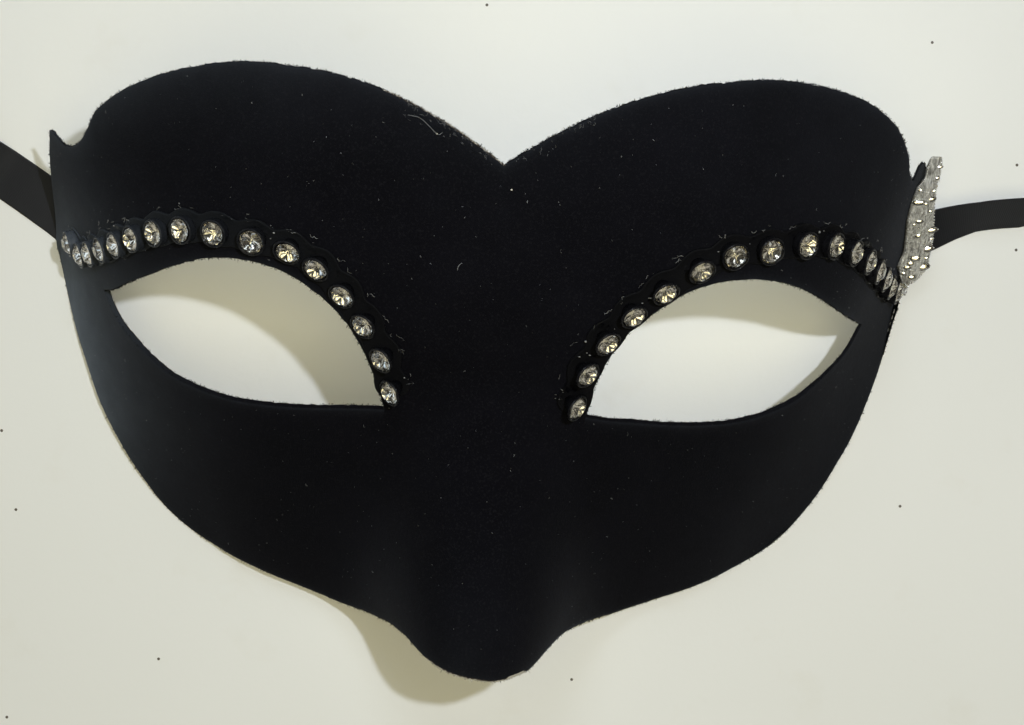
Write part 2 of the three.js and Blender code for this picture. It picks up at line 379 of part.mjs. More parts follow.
const silver = new THREE.MeshStandardMaterial({ name: 'silver_setting', color: 0xb9bcc0, roughness: 0.2, metalness: 0.9 });
const ribbon = new THREE.MeshStandardMaterial({ name: 'ribbon', color: 0x121214, roughness: 0.85, metalness: 0 });
addPiece('temple_ornament', spraySolid(), silver);
for (const s of ['L', 'R']) {
  const nm = s === 'L' ? 'left' : 'right';
  addPiece(`${nm}_ribbon`, stripSolid(s), ribbon);
  addPiece(`${nm}_ribbon_roll`, rollSolid(s), ribbon);
}

// the origin is under the middle of the mask itself, ribbons left out
const box = new THREE.Box3();
for (const m of group.children) if (!/ribbon/.test(m.name)) box.union(new THREE.Box3().setFromObject(m));
for (const m of group.children) m.geometry.translate(-(box.min.x + box.max.x) / 2, -(box.min.y + box.max.y) / 2, 0);

export default group;
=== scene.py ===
import math
import bpy
import numpy as np
from mathutils import Matrix, Vector


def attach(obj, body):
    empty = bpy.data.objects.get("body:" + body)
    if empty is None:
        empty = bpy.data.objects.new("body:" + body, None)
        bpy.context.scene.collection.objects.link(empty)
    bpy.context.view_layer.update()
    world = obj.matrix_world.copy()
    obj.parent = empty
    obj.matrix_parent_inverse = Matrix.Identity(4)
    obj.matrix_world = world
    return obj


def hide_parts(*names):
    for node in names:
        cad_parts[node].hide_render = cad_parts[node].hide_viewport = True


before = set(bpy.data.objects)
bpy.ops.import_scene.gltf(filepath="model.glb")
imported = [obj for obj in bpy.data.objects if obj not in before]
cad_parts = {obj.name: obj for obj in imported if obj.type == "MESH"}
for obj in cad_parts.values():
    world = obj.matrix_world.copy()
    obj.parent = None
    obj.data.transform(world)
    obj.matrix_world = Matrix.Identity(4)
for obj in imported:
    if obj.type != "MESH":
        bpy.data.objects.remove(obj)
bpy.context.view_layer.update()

MM = 0.001
RNG = np.random.default_rng(20)

# ------------------------------------------------------------------ sizes (mm)
WALL, TILT, LIFT, CLEAR, TUCK = 1.2, 35.3, 45.99, 0.20, 2.2
SHIFT = np.array([-0.54581, 17.14582, 0.0])          # pattern frame to row frame
GIRTH = [0, 24.2, 46.2, 63.8, 79.2, 94.6, 121]
BEND = [0.0054, 0.0004, 0.0244, 0.0184, 0.0059, 0.0059, 0.005]
CREST_V, FALL_UP, FALL_DOWN, TEMPLE_FALL = 9.85, 0.00573, 0.00136, 0.287
NOSE_H, NOSE_W, NOSE_SPREAD, NOSE_TOP, NOSE_RUN, NOSE_P = 35.2, 9.98, 0.121, 13.2, 49.5, 2.4
FLARE_FROM, FLARE_RUN, FLARE_LIN, FLARE_SQ, FLARE_V = 55, 49.5, -0.0683, 0.00985, 5.5
NOTCH_U, NOTCH_V, LOBE_V, NOTCH_P, LOBE_P = 1.3, 50.5, 62.8, 1.94, {"L": 3.0, "R": 3.0}
LOBE_A, CORNER_A, CORNER_DROP = {"L": 36, "R": 41}, {"L": 81, "R": 87.5}, {"L": 18.4, "R": 21.2}
HEEL = [108.2, 6.0]
SPIKE = {
    "L": [[81, 44.4], [83.2, 40.3], [85.4, 37.4], [87.8, 35.1], [90.3, 33.8], [92.2, 33.3], [93.9, 33.35], [95.4, 33.6], [96.6, 33.9],
          [97.6, 33.4], [98.8, 31.9], [100.4, 29.2], [101.6, 27.5], [105.1, 19.8], [106.9, 12.5], HEEL],
    "R": [[87.5, 41.6], [90, 38.2], [91.5, 35.6], [93.4, 33.5], [95.4, 31.85], [96.3, 32.1], [96.65, 33.0], [97.2, 34.0], [98.5, 33.95],
          [100.4, 32.9], [103, 30.6], [105.0, 27.0], [106.3, 18.5], [107.2, 12.0], HEEL],
}
LOWER = {
    "L": [HEEL, [107.6, 3.4], [104.1, -0.9], [100.2, -4.5], [94.3, -9.6], [88, -14.8], [82.5, -20.7], [76.9, -26.6], [70.9, -33.7], [65.6, -40],
          [60.4, -43.5], [53.8, -45.2], [46.7, -46.5], [40.2, -48.2], [33.9, -49.6], [30.7, -49.8], [27.5, -49.3], [24.3, -47.5], [19.3, -42.7],
          [14.5, -36.9], [11.7, -34.2], [8.9, -33.1], [4.1, -32.1], [0, -32.3]],
    "R": [HEEL, [108.0, 2.4], [105.7, -2.0], [101.1, -6.1], [94.6, -11.6], [87.8, -16.9], [81.7, -22.7], [77.2, -27.2], [70.8, -35.2], [65.7, -41.1],
          [60.6, -44.6], [54.2, -46.35], [47.1, -47.8], [40.6, -49.25], [34.3, -50.7], [31.2, -50.9], [28, -50.4], [24.7, -48.6], [21.3, -45.8],
          [15.6, -39.9], [12.5, -37.7], [8.7, -36.2], [8.1, -35.6], [7.1, -34.9], [5.8, -34.1], [4.8, -33.7], [0, -32.3]],
}
EYE_IN, EYE_OUT = [18.3, 2.9], {"L": [83.3, 7.1], "R": [85.3, 5.0]}
EYE_TOP = {
    "L": [EYE_IN, [20.2, 10.4], [22.6, 16.7], [25.3, 21.4], [29, 25.4], [33.5, 28.5], [38, 30.3], [43.2, 30.9], [48.5, 30.3], [54, 28.4],
          [60.4, 24.6], [66.8, 19.8], [74.4, 13.8], [79.0, 9.9], EYE_OUT["L"]],
    "R": [EYE_IN, [19.7, 10.7], [22.0, 17.0], [24.9, 21.7], [29, 25.4], [33.5, 28.6], [38, 30.3], [43.2, 30.9], [48.5, 30.3], [54, 28.5],
          [60.4, 24.9], [66.8, 19.8], [74.4, 13.5], EYE_OUT["R"]],
}
EYE_LOW = {
    "L": [EYE_IN, [22.6, 2.5], [28.6, 1.9], [34.6, 1.2], [40.7, 0.65], [47.2, 0], [54.2, -0.4], [62, -0.5], [67, 0.15], [72, 1.2], [78, 2.5], [81.3, 4.6], EYE_OUT["L"]],
    "R": [EYE_IN, [22.6, 1.8], [28.6, 1.1], [34.6, 0.35], [40.7, -0.3], [47.2, -0.85], [54.2, -1.1], [62, -0.8], [67, 0.2], [72, 1.0], [79, 1.9], EYE_OUT["R"]],
}
ROW = {
    "L": [[94.6, 11.5], [89, 12.2], [84.4, 15.2], [79.2, 18.9], [73.9, 22.8], [68.8, 26.6], [63.3, 30.2], [57.2, 33.1],
          [50.1, 34.7], [42.5, 34.9], [35.8, 34.1], [30.7, 31.7], [26.1, 27.4], [22.3, 22.1], [19.1, 15.7], [17.4, 8.9]],
    "R": [[99.8, 4.8], [94.4, 9.2], [89, 14.2], [83.5, 18.9], [77.7, 23.9], [71.9, 28.3], [65.8, 32.1], [58.8, 34.5],
          [50.5, 35.5], [43, 35.7], [36.8, 33.6], [30.6, 29.9], [25.3, 25.7], [21.1, 20.6], [18, 14.3], [16.5, 7.1]],
}
SPRAY = np.array([
    [84.0, 3.0, 4.0, 0.8, 42, 1.8], [83.1, 4.7, 5.2, 3.9, 42, 2.6], [82.6, 6.5, 6.2, 5.6, 42, 3.3], [82.6, 9.6, 8.7, 5.1, 43, 3.5],
    [82.4, 12.4, 11.4, 5.0, 45, 3.5], [81.8, 15.3, 15.0, 4.8, 48, 3.4], [81.5, 19.0, 18.6, 3.8, 50, 3.2], [81.9, 21.6, 20.8, 3.1, 50, 2.6],
    [83.1, 23.3, 21.6, 2.3, 50, 1.9], [83.3, 26.0, 23.1, 2.0, 50, 1.7], [83.35, 26.9, 23.7, 1.75, 50, 1.5],
    [83.7, 27.4, 23.9, 0.8, 50, 1.3]])
# where the ornament's inner border lies over the shell's edge, one point a station
SPRAY_INNER = np.array([[84.0, 3.0, 4.0], [83.1, 4.7, 5.2], [82.0, 6.4, 8.0], [82.9, 9.6, 9.2], [82.2, 12.3, 12.3], [81.3, 15.2, 16.8],
                        [81.4, 18.9, 19.5], [81.8, 21.5, 20.8], [83.0, 23.4, 21.4], [83.2, 26.0, 23.1], [83.35, 26.9, 23.7], [83.7, 27.4, 23.9]])
# its stones: station, place across (0 inner, 0.4 ridge, 1 outer), half length, half width
SPRAY_STONES = [[8.85, 0.70, 0.50, 0.26], [8.10, 0.60, 0.44, 0.28], [6.85, 0.10, 0.32, 0.26], [6.80, 0.70, 0.32, 0.22], [6.25, 0.60, 0.80, 0.40],
                [6.00, 0.16, 0.95, 0.48], [5.90, 0.36, 0.30, 0.22], [5.55, 0.66, 0.42, 0.26], [5.05, 0.28, 0.60, 0.40], [4.80, 0.16, 0.32, 0.22],
                [4.50, 0.80, 1.10, 0.48], [4.10, 0.30, 0.46, 0.40], [3.90, 0.86, 0.42, 0.20], [3.25, 0.76, 1.02, 0.56], [2.58, 0.36, 0.78, 0.50],
                [2.25, 0.28, 0.56, 0.38], [2.60, 0.82, 0.42, 0.20], [2.05, 0.76, 1.10, 0.56], [2.00, 0.22, 0.56, 0.38], [1.25, 0.12, 0.38, 0.20],
                [0.90, 0.44, 0.56, 0.36]]
LEAN = [0, 8, 24, 27, 27, 28, 34, 42]                 # degrees that cups 8 and 10 to 16 lean over toward the eye hole
RIBBON_W, RIBBON_T = 9.8, 0.26
GLUED = {"L": [[87.5, 8.6], [90.5, 8.4], [93.5, 8.2]], "R": [[93, 12.9], [96, 12.6], [99, 12.3]]}
ROLL_R, ROLL_PITCH, ROLL_TURNS, ROLL_OUT = 22.0, 4.2, 3.3, 22.6
ROLL = {"L": (-135.0, 14.0, 148.3), "R": (140.0, -2.4, 3.0)}
LAID = {
    "L": [[-79.5, 3.7, 6.9, 35, 89], [-81.2, 5.6, 3.9, 30, 83], [-82.8, 7.4, 1.35, 14, 70], [-84.9, 9.3, 0.17, 0, 58], [-88.6, 11.9, 0.17, 0, 56.5],
          [-93.6, 15.2, 0.17, 0, 56.5], [-98.5, 18.3, 0.17, 0, 57], [-104.5, 22.1, 1.6, 18, 57], [-111.0, 26.3, 4.2, 58, 57]],
    "R": [[79.7, 9.4, 7.3, 35.5, 90], [80.9, 10.6, 4.9, 35.5, 90], [82.2, 11.6, 3.05, 33, 94], [84.2, 12.1, 2.9, 33, 105], [88.8, 13.7, 2.8, 32, 108],
          [93.6, 15.6, 3.5, 44, 108], [98.4, 17.0, 4.25, 53, 103], [103.2, 17.8, 4.2, 54, 98], [107.9, 18.3, 4.0, 54, 96], [115.0, 18.9, 4.6, 72, 94]],
}

# ------------------------------------------------------------------ the mask's surface
_a = np.linspace(0, 130, 521)
_k = np.interp(_a, GIRTH, BEND)
_th = np.concatenate([[0], np.cumsum((_k[1:] + _k[:-1]) / 2 * 0.25)])
_sx = np.concatenate([[0], np.cumsum((np.cos(_th[1:]) + np.cos(_th[:-1])) / 2 * 0.25)])
_sz = -np.concatenate([[0], np.cumsum((np.sin(_th[1:]) + np.sin(_th[:-1])) / 2 * 0.25)])
TC, TS = math.cos(math.radians(TILT)), math.sin(math.radians(TILT))


def ease(x):
    return x * x * (3 - 2 * np.minimum(x, 1))


def face(u, v):
    u, v = np.broadcast_arrays(np.asarray(u, float), np.asarray(v, float))
    a, side = np.abs(u), np.where(u < 0, -1.0, 1.0)
    fl = ease(np.clip((a - FLARE_FROM) / FLARE_RUN, 0, 1.2))
    fall = np.where(v > CREST_V, FALL_UP, FALL_DOWN) * (v - CREST_V) ** 2 * (1 + TEMPLE_FALL * fl)
    w = NOSE_W + NOSE_SPREAD * np.clip(-v, 0, 66)
    o = NOSE_H * ease(np.clip((NOSE_TOP - v) / NOSE_RUN, 0, 1)) * np.exp(-((a / w) ** NOSE_P) / 1.6) - fall
    t = np.interp(a, _a, _th)
    x = np.interp(a, _a, _sx) + o * np.sin(t) + fl * (FLARE_LIN * (v - FLARE_V) + FLARE_SQ * (v - FLARE_V) ** 2) - np.where(u > 0, TUCK * fl, 0)
    z = np.interp(a, _a, _sz) + o * np.cos(t) + LIFT
    return np.stack([side * x, v * TC - z * TS, v * TS + z * TC + CLEAR], -1)


def unit(x):
    return x / np.maximum(np.linalg.norm(x, axis=-1, keepdims=True), 1e-12)


def face_frame(u, v, h=0.05):
    u, v = np.asarray(u, float), np.asarray(v, float)
    du, dv = face(u + h, v) - face(u - h, v), face(u, v + h) - face(u, v - h)
    return face(u, v), unit(du), unit(np.cross(du, dv))


def on_face(u, v, h):
    p, _, n = face_frame(u, v)
    return p + n * np.asarray(h)[..., None] if np.ndim(h) else p + n * h


def catmull(pts, n=24):
    """Centripetal spline through the points, n steps a span."""
    P = [np.array(p, float) for p in pts]
    P = [2 * P[0] - P[1]] + P + [2 * P[-1] - P[-2]]
    out = []
    for i in range(1, len(P) - 2):
        p0, p1, p2, p3 = P[i - 1:i + 3]
        t = [0.0]
        for a, b in ((p0, p1), (p1, p2), (p2, p3)):
            t.append(t[-1] + max(float(np.linalg.norm(b - a)), 1e-6) ** 0.5)
        for s in np.linspace(t[1], t[2], n, endpoint=False):
            a1 = (t[1] - s) / (t[1] - t[0]) * p0 + (s - t[0]) / (t[1] - t[0]) * p1
            a2 = (t[2] - s) / (t[2] - t[1]) * p1 + (s - t[1]) / (t[2] - t[1]) * p2
            a3 = (t[3] - s) / (t[3] - t[2]) * p2 + (s - t[2]) / (t[3] - t[2]) * p3
            b1 = (t[2] - s) / (t[2] - t[0]) * a1 + (s - t[0]) / (t[2] - t[0]) * a2
            b2 = (t[3] - s) / (t[3] - t[1]) * a2 + (s - t[1]) / (t[3] - t[1]) * a3
            out.append((t[2] - s) / (t[2] - t[1]) * b1 + (s - t[1]) / (t[2] - t[1]) * b2)
    out.append(P[-2])
    return np.array(out)


_spike = {s: catmull(SPIKE[s]) for s in "LR"}
_lower = {s: catmull(LOWER[s])[::-1] for s in "LR"}
_etop = {s: catmull(EYE_TOP[s]) for s in "LR"}
_elow = {s: catmull(EYE_LOW[s]) for s in "LR"}


def at(curve, a):
    return float(np.interp(a, curve[:, 0], curve[:, 1]))


def top_edge(u):
    a, s = abs(u), "L" if u < NOTCH_U else "R"
    reach, d = LOBE_A[s] + (NOTCH_U if s == "L" else -NOTCH_U), abs(u - NOTCH_U)
    if d < reach:
        return LOBE_V - (LOBE_V - NOTCH_V) * ((reach - d) / reach) ** NOTCH_P
    if a < CORNER_A[s]:
        return LOBE_V - CORNER_DROP[s] * ((a - LOBE_A[s]) / (CORNER_A[s] - LOBE_A[s])) ** LOBE_P[s]
    return at(_spike[s], a)


def wall_at(u, v):
    """Wall of the visible shell: drawn thinner where it was stretched into the temple spikes."""
    spike = ease(np.clip((np.abs(u) - 86) / 6, 0, 1)) * ease(np.clip((v - 20) / 8, 0, 1))
    return WALL - 0.55 * ease(np.clip((u - 58) / 14, 0, 1)) * (1 - spike) - 0.72 * spike


def sides(u):
    """Edges above and below a girth, and the eye hole's edges there (None beside it)."""
    a, s = abs(u), "L" if u < 0 else "R"
    hole = EYE_IN[0] + 1e-6 < a < EYE_OUT[s][0] - 1e-6
    return top_edge(u), at(_lower[s], a), at(_etop[s], a) if hole else None, at(_elow[s], a) if hole else None


# ------------------------------------------------------------------ mesh helpers
def make_object(name, verts, faces, mats, mat_index=None, smooth=True, attrs=None):
    """verts in pattern millimetres; the object sits at the origin of the row frame, in metres."""
    me = bpy.data.meshes.new(name)
    v = (np.asarray(verts, float) + SHIFT) * MM
    me.from_pydata(v.tolist(), [], [list(map(int, f)) for f in faces])
    for m in mats:
        me.materials.append(m)
    if mat_index is not None:
        me.polygons.foreach_set("material_index", np.asarray(mat_index, np.int32))
    sm = np.full(len(me.polygons), bool(smooth)) if np.ndim(smooth) == 0 else np.asarray(smooth, bool)
    me.polygons.foreach_set("use_smooth", sm)
    for key, val in (attrs or {}).items():
        at = me.attributes.new(key, "FLOAT", "POINT")
        at.data.foreach_set("value", np.asarray(val, np.float32))
    me.validate()
    me.update()
    ob = bpy.data.objects.new(name, me)
    bpy.context.scene.collection.objects.link(ob)
    return ob


class Build:
    """Collects vertices and faces, with a material index and a smooth flag a face and one value a vertex."""
    def __init__(self):
        self.v, self.f, self.m, self.s, self.a = [], [], [], [], []

    def add(self, verts, faces, mat=0, smooth=True, attr=0.0):
        base = len(self.v)
        self.v.extend(np.asarray(verts, float).tolist())
        self.a.extend([float(attr)] * (len(self.v) - base) if np.ndim(attr) == 0 else list(map(float, attr)))
        for f in faces:
            self.f.append([base + int(i) for i in f])
            self.m.append(mat)
            self.s.append(smooth)
        return base

    def obj(self, name, mats, key="wear"):
        return make_object(name, self.v, self.f, mats, self.m, self.s, {key: self.a})


def lathe(profile, sides, o, xa, ya, za, phase=0.5, squash=1.0):
    """Closed round solid: profile [r, h] from the axis out and back to the axis."""
    verts, faces, rings = [], [], []
    for r, h in profile:
        if r < 1e-6:
            rings.append([len(verts)])
            verts.append(o + za * h)
            continue
        f = (np.arange(sides) + phase) * 2 * math.pi / sides
        rings.append(list(range(len(verts), len(verts) + sides)))
        verts.extend(list(o + np.outer(np.cos(f) * r, xa) + np.outer(np.sin(f) * r * squash, ya) + za * h))
    for A, B in zip(rings, rings[1:]):
        for k in range(sides):
            k2 = (k + 1) % sides
            if len(A) == 1:
                faces.append([A[0], B[k2], B[k]])
            elif len(B) == 1:
                faces.append([A[k], A[k2], B[0]])
            else:
                faces.append([A[k], A[k2], B[k2], B[k]])
    return np.array(verts), faces


# ------------------------------------------------------------------ materials
class Nodes:
    def __init__(self, name):
        self.mat = bpy.data.materials.new(name)
        self.mat.use_nodes = True
        self.t = self.mat.node_tree
        self.t.nodes.clear()
        self.out = self.t.nodes.new("ShaderNodeOutputMaterial")
        self.b = self.t.nodes.new("ShaderNodeBsdfPrincipled")
        self.t.links.new(self.b.outputs["BSDF"], self.out.inputs["Surface"])
        self.geo = self.t.nodes.new("ShaderNodeTexCoord").outputs["Object"]

    def set(self, **kw):
        for k, v in kw.items():
            self.b.inputs[k.replace("_", " ")].default_value = v
        return self

    def node(self, kind, **kw):
        n = self.t.nodes.new(kind)
        for k, v in kw.items():
            setattr(n, k, v)
        return n

    def link(self, a, b):
        self.t.links.new(a, b)

    def noise(self, scale, detail=3.0, rough=0.55, vec=None):
        n = self.node("ShaderNodeTexNoise")
        n.inputs["Scale"].default_value = scale
        n.inputs["Detail"].default_value = detail
        n.inputs["Roughness"].default_value = rough
        self.link(vec or self.geo, n.inputs["Vector"])
        return n.outputs["Fac"]

    def ramp(self, fac, stops, interp="LINEAR"):
        r = self.node("ShaderNodeValToRGB")
        r.color_ramp.interpolation = interp
        el = r.color_ramp.elements
        while len(el) < len(stops):
            el.new(0.5)
        for e, (p, c) in zip(el, stops):
            e.position = p
            e.color = (*c, 1.0) if np.ndim(c) else (c, c, c, 1.0)
        self.link(fac, r.inputs["Fac"])
        return r.outputs["Color"]

    def math(self, op, a, b=None, c=None, clamp=False):
        n = self.node("ShaderNodeMath", operation=op, use_clamp=clamp)
        for i, x in enumerate((a, b, c)):
            if x is None:
                continue
            if isinstance(x, (int, float)):
                n.inputs[i].default_value = x
            else:
                self.link(x, n.inputs[i])
        return n.outputs[0]

    def mix(self, fac, a, b):
        n = self.node("ShaderNodeMix", data_type="RGBA")
        for sock, x in ((n.inputs[0], fac), (n.inputs[6], a), (n.inputs[7], b)):
            if isinstance(x, (int, float)):
                sock.default_value = x
            elif isinstance(x, (tuple, list)):
                sock.default_value = (*x, 1.0)
            else:
                self.link(x, sock)
        return n.outputs[2]

    def bump(self, height, strength, dist, prev=None):
        n = self.node("ShaderNodeBump")
        n.inputs["Strength"].default_value = strength
        n.inputs["Distance"].default_value = dist
        self.link(height, n.inputs["Height"])
        if prev is not None:
            self.link(prev, n.inputs["Normal"])
        return n.outputs["Normal"]

    def attr(self, name):
        n = self.node("ShaderNodeAttribute", attribute_name=name)
        return n.outputs["Fac"]


def mat_flock():
    """Near-black flock with painted sheen: lighter and bluish where the vertex attribute marks the left temple, cheek
    and edges; worn to off-white plastic at marked rims.
    """
    n = Nodes("flock")
    cloud = n.noise(60, 4)
    fine = n.noise(5200, 2)
    pile_and_painted_sheen = n.noise(900, 3)
    base = n.mix(n.ramp(cloud, [(0.3, 0.0), (0.75, 1.0)]), (0.0019, 0.0018, 0.0029), (0.0034, 0.0033, 0.0052))
    base = n.mix(n.math("MULTIPLY", n.ramp(n.noise(2400, 2, 0.6), [(0.52, 0.0), (0.72, 1.0)]), 0.5), base, (0.0100, 0.0098, 0.0118))
    # painted sheen: base colour mixed toward bluish grey by the vertex attribute, for the light and sheen seen on the
    # left temple and cheek
    painted_sheen_fac = n.math("MULTIPLY", n.attr("pile_and_painted_sheen"), n.math("MULTIPLY_ADD", n.noise(240, 4, 0.6), 0.5, 0.75), clamp=True)
    base = n.mix(painted_sheen_fac, base, (0.122, 0.143, 0.172))
    wear = n.attr("wear")
    bare = n.math("GREATER_THAN", n.math("ADD", wear, n.math("MULTIPLY", n.noise(1500, 4, 0.7), 0.55)), 1.0)
    thin = n.math("GREATER_THAN", n.math("ADD", wear, n.math("MULTIPLY", n.noise(2600, 3, 0.7), 0.7)), 1.0)
    col = n.mix(thin, base, (0.045, 0.037, 0.030))
    col = n.mix(bare, col, (0.50, 0.47, 0.41))
    n.link(col, n.b.inputs["Base Color"])
    n.set(Roughness=0.95)
    n.b.inputs["Specular IOR Level"].default_value = 0.06
    n.b.inputs["Sheen Weight"].default_value = SHEEN[0]
    n.b.inputs["Sheen Roughness"].default_value = SHEEN[1]
    n.b.inputs["Sheen Tint"].default_value = (0.80, 0.85, 1.0, 1.0)
    nrm = n.bump(fine, 0.55, 0.00012)
    nrm = n.bump(pile_and_painted_sheen, 0.20, 0.0002, nrm)
    n.link(nrm, n.b.inputs["Normal"])
    return n.mat


SHEEN = (0.058, 0.32)


def mat_bare():
    """Inside of the shell: off-white vacuum-formed plastic with black overspray near the trimmed edges."""
    n = Nodes("bare_plastic")
    near = n.attr("wear")                      # 1 at the trimmed edge
    spot = n.noise(700, 4, 0.7)
    fac = n.math("GREATER_THAN", n.math("ADD", near, n.math("MULTIPLY", spot, 0.9)), 1.05)
    soft = n.math("MULTIPLY", n.math("MULTIPLY", near, near), 0.75, clamp=True)
    tone = n.mix(n.ramp(n.noise(45, 5), [(0.3, 0.0), (0.7, 1.0)]), (0.80, 0.77, 0.66), (0.87, 0.85, 0.76))
    col = n.mix(soft, tone, (0.03, 0.03, 0.032))
    col = n.mix(fac, col, (0.012, 0.012, 0.014))
    n.link(col, n.b.inputs["Base Color"])
    n.link(n.ramp(n.noise(180, 3), [(0.3, 0.32), (0.7, 0.5)]), n.b.inputs["Roughness"])
    n.link(n.bump(n.noise(260, 4), 0.25, 0.0004), n.b.inputs["Normal"])
    return n.mat


def mat_fibre(name, col, rough=0.8):
    n = Nodes(name)
    k = n.noise(900, 1)
    n.link(n.mix(k, tuple(c * 0.7 for c in col), tuple(min(1, c * 1.25) for c in col)), n.b.inputs["Base Color"])
    n.set(Roughness=rough)
    n.b.inputs["Specular IOR Level"].default_value = 0.15
    return n.mat


def mat_band():
    """Black moulded banding, matt with dust and flock stuck to it, glossy only in broken patches; painted sheen makes
    it lighter toward the left temple.
    """
    n = Nodes("band_plastic")
    patch = n.ramp(n.noise(420, 5, 0.7), [(0.56, 0.0), (0.66, 1.0)])
    haze = n.ramp(n.noise(1600, 4, 0.65), [(0.60, 0.0), (0.78, 1.0)])
    base = n.mix(haze, (0.0016, 0.0016, 0.0023), (0.008, 0.008, 0.0095))
    # painted sheen: lighter bluish grey where the vertex attribute marks the left temple
    n.link(n.mix(n.attr("pile_and_painted_sheen"), base, (0.122, 0.143, 0.172)), n.b.inputs["Base Color"])
    n.link(n.mix(patch, (0.75, 0.75, 0.75), (0.22, 0.22, 0.22)), n.b.inputs["Roughness"])
    n.b.inputs["Specular IOR Level"].default_value = 0.10
    n.link(n.bump(n.noise(1900, 3), 0.5, 0.00012), n.b.inputs["Normal"])
    return n.mat


def mat_rim():
    """Polished black rim round each stone."""
    n = Nodes("cup_rim")
    base = n.mix(n.noise(1500, 3), (0.0018, 0.0018, 0.0025), (0.008, 0.008, 0.0095))
    # painted sheen: lighter bluish grey where the vertex attribute marks the left temple
    n.link(n.mix(n.attr("pile_and_painted_sheen"), base, (0.122, 0.143, 0.172)), n.b.inputs["Base Color"])
    n.link(n.ramp(n.noise(1300, 4), [(0.40, 0.16), (0.62, 0.45)]), n.b.inputs["Roughness"])
    n.b.inputs["Specular IOR Level"].default_value = 0.16
    n.link(n.bump(n.noise(1700, 3), 0.3, 0.00008), n.b.inputs["Normal"])
    return n.mat


def mat_glue():
    n = Nodes("glue")
    n.link(n.mix(n.noise(1500, 3), (0.10, 0.10, 0.10), (0.30, 0.30, 0.29)), n.b.inputs["Base Color"])
    n.set(Roughness=0.22)
    n.b.inputs["Specular IOR Level"].default_value = 0.6
    n.link(n.bump(n.noise(3000, 3), 0.5, 0.00008), n.b.inputs["Normal"])
    return n.mat


def mat_glass():
    n = Nodes("stone_glass")
    n.link(n.mix(n.noise(500, 2), (0.98, 0.97, 0.95), (1.0, 0.995, 0.985)), n.b.inputs["Base Color"])
    n.set(Roughness=0.015, IOR=1.54)
    n.b.inputs["Transmission Weight"].default_value = 1.0
    n.link(n.bump(n.noise(1200, 3), 0.05, 0.00004), n.b.inputs["Normal"])
    return n.mat


def mat_foil(name="foil", lo=(0.62, 0.59, 0.53), hi=(0.93, 0.91, 0.86), rough=(0.05, 0.16)):
    """Mirror coat behind a stone, a little warm and uneven."""
    n = Nodes(name)
    n.link(n.mix(n.ramp(n.noise(1600, 4, 0.6), [(0.35, 0.0), (0.6, 1.0)]), lo, hi), n.b.inputs["Base Color"])
    n.b.inputs["Metallic"].default_value = 1.0
    n.link(n.ramp(n.noise(1900, 3), [(0.3, rough[0]), (0.7, rough[1])]), n.b.inputs["Roughness"])
    n.link(n.bump(n.noise(2200, 2), 0.12, 0.00006), n.b.inputs["Normal"])
    return n.mat


def mat_silver():
    n = Nodes("silver_setting")
    tarnish = n.ramp(n.noise(700, 5, 0.65), [(0.40, 0.0), (0.66, 1.0)])
    n.link(n.mix(tarnish, (0.80, 0.80, 0.79), (0.34, 0.33, 0.32)), n.b.inputs["Base Color"])
    n.b.inputs["Metallic"].default_value = 1.0
    n.link(n.ramp(n.noise(1100, 4), [(0.3, 0.16), (0.7, 0.42)]), n.b.inputs["Roughness"])
    n.link(n.bump(n.noise(1500, 4), 0.25, 0.00012), n.b.inputs["Normal"])
    return n.mat


def mat_frost():
    """Pale silvered body of the temple ornament, streaked along its length and rubbed dull."""
    n = Nodes("silvered_body")
    st = n.node("ShaderNodeMapping")
    st.inputs["Scale"].default_value = (1.0, 0.22, 0.45)
    n.link(n.geo, st.inputs["Vector"])
    streak = n.ramp(n.noise(2600, 4, 0.6, st.outputs["Vector"]), [(0.34, 0.0), (0.66, 1.0)])
    col = n.mix(streak, (0.17, 0.165, 0.15), (0.74, 0.73, 0.69))
    spots = n.ramp(n.noise(1500, 3, 0.6), [(0.60, 0.0), (0.70, 1.0)])
    col = n.mix(n.math("MULTIPLY", spots, 0.55), col, (0.13, 0.125, 0.115))
    n.link(col, n.b.inputs["Base Color"])
    n.b.inputs["Metallic"].default_value = 0.35
    n.link(n.ramp(n.noise(1300, 3), [(0.3, 0.28), (0.7, 0.55)]), n.b.inputs["Roughness"])
    n.link(n.bump(n.noise(3000, 3, 0.6, st.outputs["Vector"]), 0.5, 0.00010), n.b.inputs["Normal"])
    return n.mat


